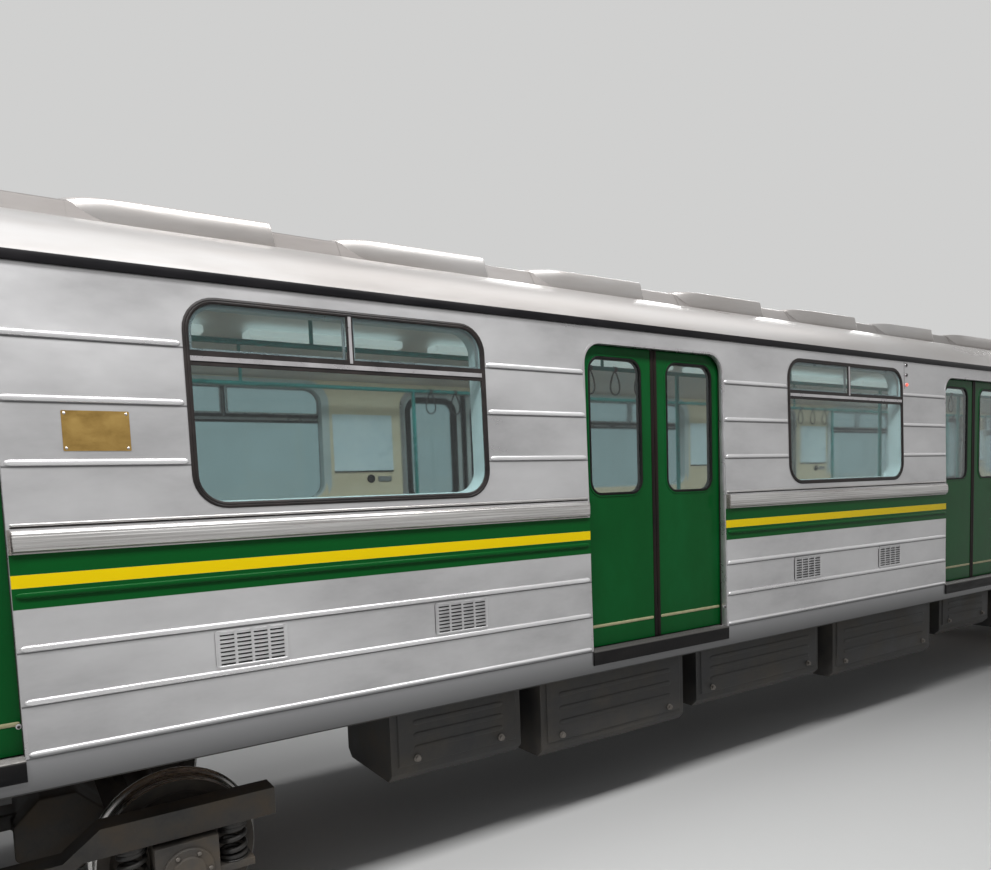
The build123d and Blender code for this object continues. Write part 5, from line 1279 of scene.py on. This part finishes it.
loop = upright(*(RAIL_Z - STRAP_DROP + STRAP_HALF_HIGH * np.cos(angle)))
loop = np.array(loop) + np.outer(STRAP_HALF_WIDE * np.sin(angle) * (1 - 0.45 * np.cos(angle)), (1, 0, 0))
poles = [(x, 0, 0) for x0, x1, _ in BENCHES for x in (x0 - POLE_GAP, x1 + POLE_GAP)]
parts = [
    (rail, 0), (copies(pole, poles), 0), (copies(hanger, HANGERS), 0),
    (copies(turned(ROSETTE, (0, -RAIL_Y, ceiling_z), (0, 0, 1), 20), HANGERS), 0),
    (copies(tube(loop, STRAP_BAR, 6, closed=True), STRAPS), 1),
    (copies(turned(COLLAR, (0, -RAIL_Y, RAIL_Z), (1, 0, 0), TUBE_SIDES), STRAPS), 1),
]
piece("handrails_tubes", parts, [teal, strap_black], ["handrails"], both=True)


# Door leaves. Pressed aluminium leaves, green outside and grey inside, hang from rails over the doorway
# and meet on a dark rubber nose. Each has a round-cornered pane in rubber and a tan rubbing strip.
LEAF_OUT, LEAF_IN, LEAF_LOW, LEAF_TOP = 1.258, 1.224, 1.178, 3.130
LEAF_DEEP, LEAF_SKIN, LEAF_SPLIT = LEAF_IN - LEAF_OUT, -0.017, -0.0172
LEAF_START, LEAF_SHEET, LEAF_END, LEAF_EDGE = 0.0012, 0.0132, 0.6653, 0.006
LEAF_WINDOW, LEAF_CORNER, LEAF_STEPS = (0.118, 0.565, 2.160, 3.030), 0.090, 10
PANE_FRONT, PANE_BACK, PANE_PLAY = -0.0045, -0.0095, -0.0005
LEAF_RUBBER = [
    (0.006, -0.001), (0.006, 0.002), (0.002, 0.0045), (-0.005, 0.005), (-0.0095, 0.0035), (-0.011, -0.001),
    (-0.011, -0.0168), (0.0, -0.0168),
]
LEAF_INNER_RUBBER = [
    (0.045, -0.001), (0.044, 0.003), (0.030, 0.0055), (0.008, 0.006), (-0.008, 0.004), (-0.011, -0.001),
    (-0.011, -0.0168), (0.0, -0.0168),
]
LEAF_BEAD = [(0.0065, -0.001), (0.007, 0.0035), (0.011, 0.0045), (0.016, 0.0035), (0.018, -0.001)]
NOSE_X, NOSE_HALF, NOSE_PROUD, NOSE_FOOT, NOSE_BACK, NOSE_GAP = 0.015, 0.014, 0.007, 0.0005, 0.029, 0.001
STRIP = (0.033, 0.630, STRIP_Z, 0.010, 0.0045, 0.012, 4, 8)


on_leaf = upright_face(LEAF_OUT)


def leaf_parts():
    """The leaf on the +X side of a doorway whose middle is at x = 0, as surfaces and materials."""
    edge = rounded(LEAF_SHEET, LEAF_END, LEAF_LOW, LEAF_TOP, LEAF_EDGE, 0, 3)
    hole = rounded(*LEAF_WINDOW, LEAF_CORNER, 0.0, LEAF_STEPS)
    inner = [(grow, LEAF_DEEP - out) for grow, out in LEAF_INNER_RUBBER]
    t = np.linspace(0, np.pi, 9)
    nose = np.column_stack([NOSE_X + NOSE_HALF * np.cos(t), NOSE_PROUD * np.sin(t) ** 0.6 - NOSE_FOOT])
    nose = np.concatenate([nose, [(LEAF_START, LEAF_DEEP), (NOSE_BACK, LEAF_DEEP)]])
    nose[8, 0] = LEAF_START
    ends = np.array([LEAF_LOW + NOSE_GAP, LEAF_TOP - NOSE_GAP])[:, None]
    rows = on_leaf(np.stack(np.broadcast_arrays(nose[:, 0], ends), -1), nose[:, 1])
    return [
        (plate([edge, hole], on_leaf, 0.0, LEAF_SKIN), 0),
        (plate([edge, hole], on_leaf, LEAF_SPLIT, LEAF_DEEP), 1),
        (ring_on(on_leaf, LEAF_WINDOW, LEAF_CORNER, LEAF_RUBBER), 2),
        (ring_on(on_leaf, LEAF_WINDOW, LEAF_CORNER, inner), 2),
        (ring_on(on_leaf, LEAF_WINDOW, LEAF_CORNER, LEAF_BEAD), 0),
        (bar(rows), 3), (half_round(on_leaf, *STRIP), 4),
    ]


def leaf_at(parts, x, way, other_side):
    """A leaf's parts in their doorway: mirrored where way is -1, and half turned for the other side."""
    made = []
    for (points, faces), material in parts:
        shape = points * (way, 1, 1) + (x, 0, 0), faces
        made.append((half_turned(shape) if other_side else shape, material))
    return made


def pane_piece(name, parts, body):
    """A pane of door glass, which throws no shadow."""
    piece(name, parts, [door_tint], body=body).visible_shadow = False


leaf_rubber = finish(
    "leaf_rubber", [(0.003, 0.003, 0.003), (0.010, 0.009, 0.009)], (0.36, 0.5), 0.0, (8, 8, 8),
    (900, 0.00003), None, 0.12,
)
door_green = finish(
    "door_green", [(0.0010, 0.054, 0.0095), (0.0014, 0.064, 0.012), (0.0025, 0.078, 0.018)], (0.17, 0.27),
    0.0, (1.6, 1.6, 0.8), (180, 0.00003), (2.2, 0.0026), 0.10,
)
leaf_grey = finish(
    "leaf_grey", [(0.34, 0.38, 0.38), (0.42, 0.46, 0.46)], (0.35, 0.5), 0.0, (2, 2, 1), (300, 0.0002),
)
nose_rubber = finish(
    "nose_rubber", [(0.003, 0.002, 0.002), (0.012, 0.006, 0.005)], (0.42, 0.62), 0.0, (10, 10, 3),
    (500, 0.00006), None, 0.15,
)
tan_strip = finish(
    "tan_strip", [(0.26, 0.24, 0.13), (0.36, 0.34, 0.20)], (0.4, 0.6), 0.1, (20, 20, 20), (400, 0.0002),
)
door_tint = clear_glass("door_glass_tint", (0.46, 0.57, 0.58))
materials = [door_green, leaf_grey, leaf_rubber, nose_rubber, tan_strip]
leaf = leaf_parts()
outline = rounded(*LEAF_WINDOW, LEAF_CORNER, PANE_PLAY, LEAF_STEPS)
pane = [(plate([outline], on_leaf, PANE_FRONT, PANE_BACK), 0)]
for number, x in enumerate(DOORS, 1):
    for letter, way in (("a", -1), ("b", 1)):
        for wall in ("right", "left"):
            key = f"{wall}_{number}{letter}"
            body, place = "door_leaf_" + key, (x, way, wall == "left")
            piece("leaf_" + key, leaf_at(leaf, *place), materials, [body], body=body)
            pane_piece("leaf_pane_" + key, leaf_at(pane, *place), body)


# End doors. A folded steel door, green like the side doors, closes the passage to the next car: a pane in
# a rubber ring above, a raised panel below, a lever handle, and two hinges on the inside.
END_DOOR_FACE, END_DOOR_DEEP, END_DOOR_EDGE = 9.365, -0.04, 0.008
END_DOOR, END_PANE, END_PANE_CORNER = (-0.319, 0.319, 1.214, 3.102), (-0.18, 0.18, 2.2, 2.95), 0.08
END_PANE_PLAY, END_PANE_DEPTHS = -0.0006, (-0.017, -0.023)
END_RUBBER = [
    (0.012, -0.001), (0.012, 0.003), (0.004, 0.006), (-0.008, 0.005), (-0.011, -0.001), (-0.011, -0.018),
    (0.0, -0.018),
]
END_PANEL, END_PANEL_CORNER = (-0.22, 0.22, 1.38, 2.02), 0.03
PANEL_FOLD = [(0.0, -0.001), (-0.004, 0.005), (-0.012, 0.005), (-0.016, -0.001)]
HANDLE_ROSE = [(0.028, -0.001), (0.028, 0.005), (0.022, 0.008)]
LEVER = [(0.0, -0.255, 2.13), (0.034, -0.255, 2.13), (0.042, -0.24, 2.13), (0.042, -0.14, 2.125)]
LEVER_RADIUS = 0.008
HINGE_X, HINGE_Y, HINGE_HEIGHTS, HINGE_LEAF = 9.313, 0.325, (1.5, 2.8), (0.045, 0.05, 0.004)
HINGE = [(0.007, -0.05), (0.008, -0.049), (0.008, 0.049), (0.007, 0.05)]


def on_end(flat, out):
    """Points of the front end's door from (across, height) and a distance out from its face."""
    return np.stack([0 * flat[..., 0] + END_DOOR_FACE + out, flat[..., 0], flat[..., 1] + RAIL_HEAD], -1)


lever = np.array(LEVER) + (END_DOOR_FACE, 0, 0)
outlines = [rounded(*END_DOOR, END_DOOR_EDGE, 0, 3), rounded(*END_PANE, END_PANE_CORNER)]
parts = [
    (plate(outlines, on_end, 0.0, END_DOOR_DEEP), 0),
    (ring_on(on_end, END_PANE, END_PANE_CORNER, END_RUBBER), 1),
    (ring_on(on_end, END_PANEL, END_PANEL_CORNER, PANEL_FOLD), 0),
    (turned(HANDLE_ROSE, lever[0], (1, 0, 0), 20), 2),
    (tube(lever, LEVER_RADIUS, 10), 2),
]
wide, half, thick = HINGE_LEAF
for z in HINGE_HEIGHTS:
    flap = [(HINGE_Y - wide, z - half), (HINGE_Y, z - half), (HINGE_Y, z + half), (HINGE_Y - wide, z + half)]
    parts.append((turned(HINGE, (HINGE_X, HINGE_Y, z + RAIL_HEAD), (0, 0, 1), 16), 2))
    parts.append((plate([np.array(flap)], on_end, END_DOOR_DEEP, END_DOOR_DEEP - thick), 2))
outline = rounded(*END_PANE, END_PANE_CORNER, END_PANE_PLAY)
pane = [(plate([outline], on_end, *END_PANE_DEPTHS), 0)]
for end in BOGIES:
    name = "end_door_" + end
    if end == "rear":
        parts, pane = ([(half_turned(shape), number) for shape, number in group] for group in (parts, pane))
    piece(name + "_folded", parts, [door_green, rubber, trim_steel], [name], body=name)
    pane_piece(name + "_pane", pane, name)


# End fittings. Rubber rings round the end windows and upright grab rails of round bar beside the door, for
# the staff who climb up between two cars.
END_FACE, SIDE_PANE_Y, SIDE_PANE_HALF = 9.385, 0.76, 0.235
GRAB_Y, GRAB_RADIUS = 0.405, 0.011
GRAB = [  # out of the end wall, height
    (-0.002, 1.45), (0.022, 1.45), (0.034, 1.465), (0.034, 1.9), (0.034, 2.365), (0.022, 2.38),
    (-0.002, 2.38),
]
GRAB_ROSE = [(0.024, -0.001), (0.024, 0.004), (0.018, 0.006)]

ring = [(grow, out + END_FACE - END_DOOR_FACE) for grow, out in END_RUBBER]
parts = []
for side in (-1, 1):
    box = (side * SIDE_PANE_Y - SIDE_PANE_HALF, side * SIDE_PANE_Y + SIDE_PANE_HALF, *END_PANE[2:])
    path = [(END_FACE + out, side * GRAB_Y, z) for out, z in GRAB]
    parts += [(ring_on(on_end, box, END_PANE_CORNER, ring), 0), (tube(path, GRAB_RADIUS, 12), 1)]
    for _, z in (GRAB[0], GRAB[-1]):
        parts.append((turned(GRAB_ROSE, (END_FACE, side * GRAB_Y, z), (1, 0, 0), 18), 1))
piece("end_fittings", parts, [rubber, trim_steel], both=True)
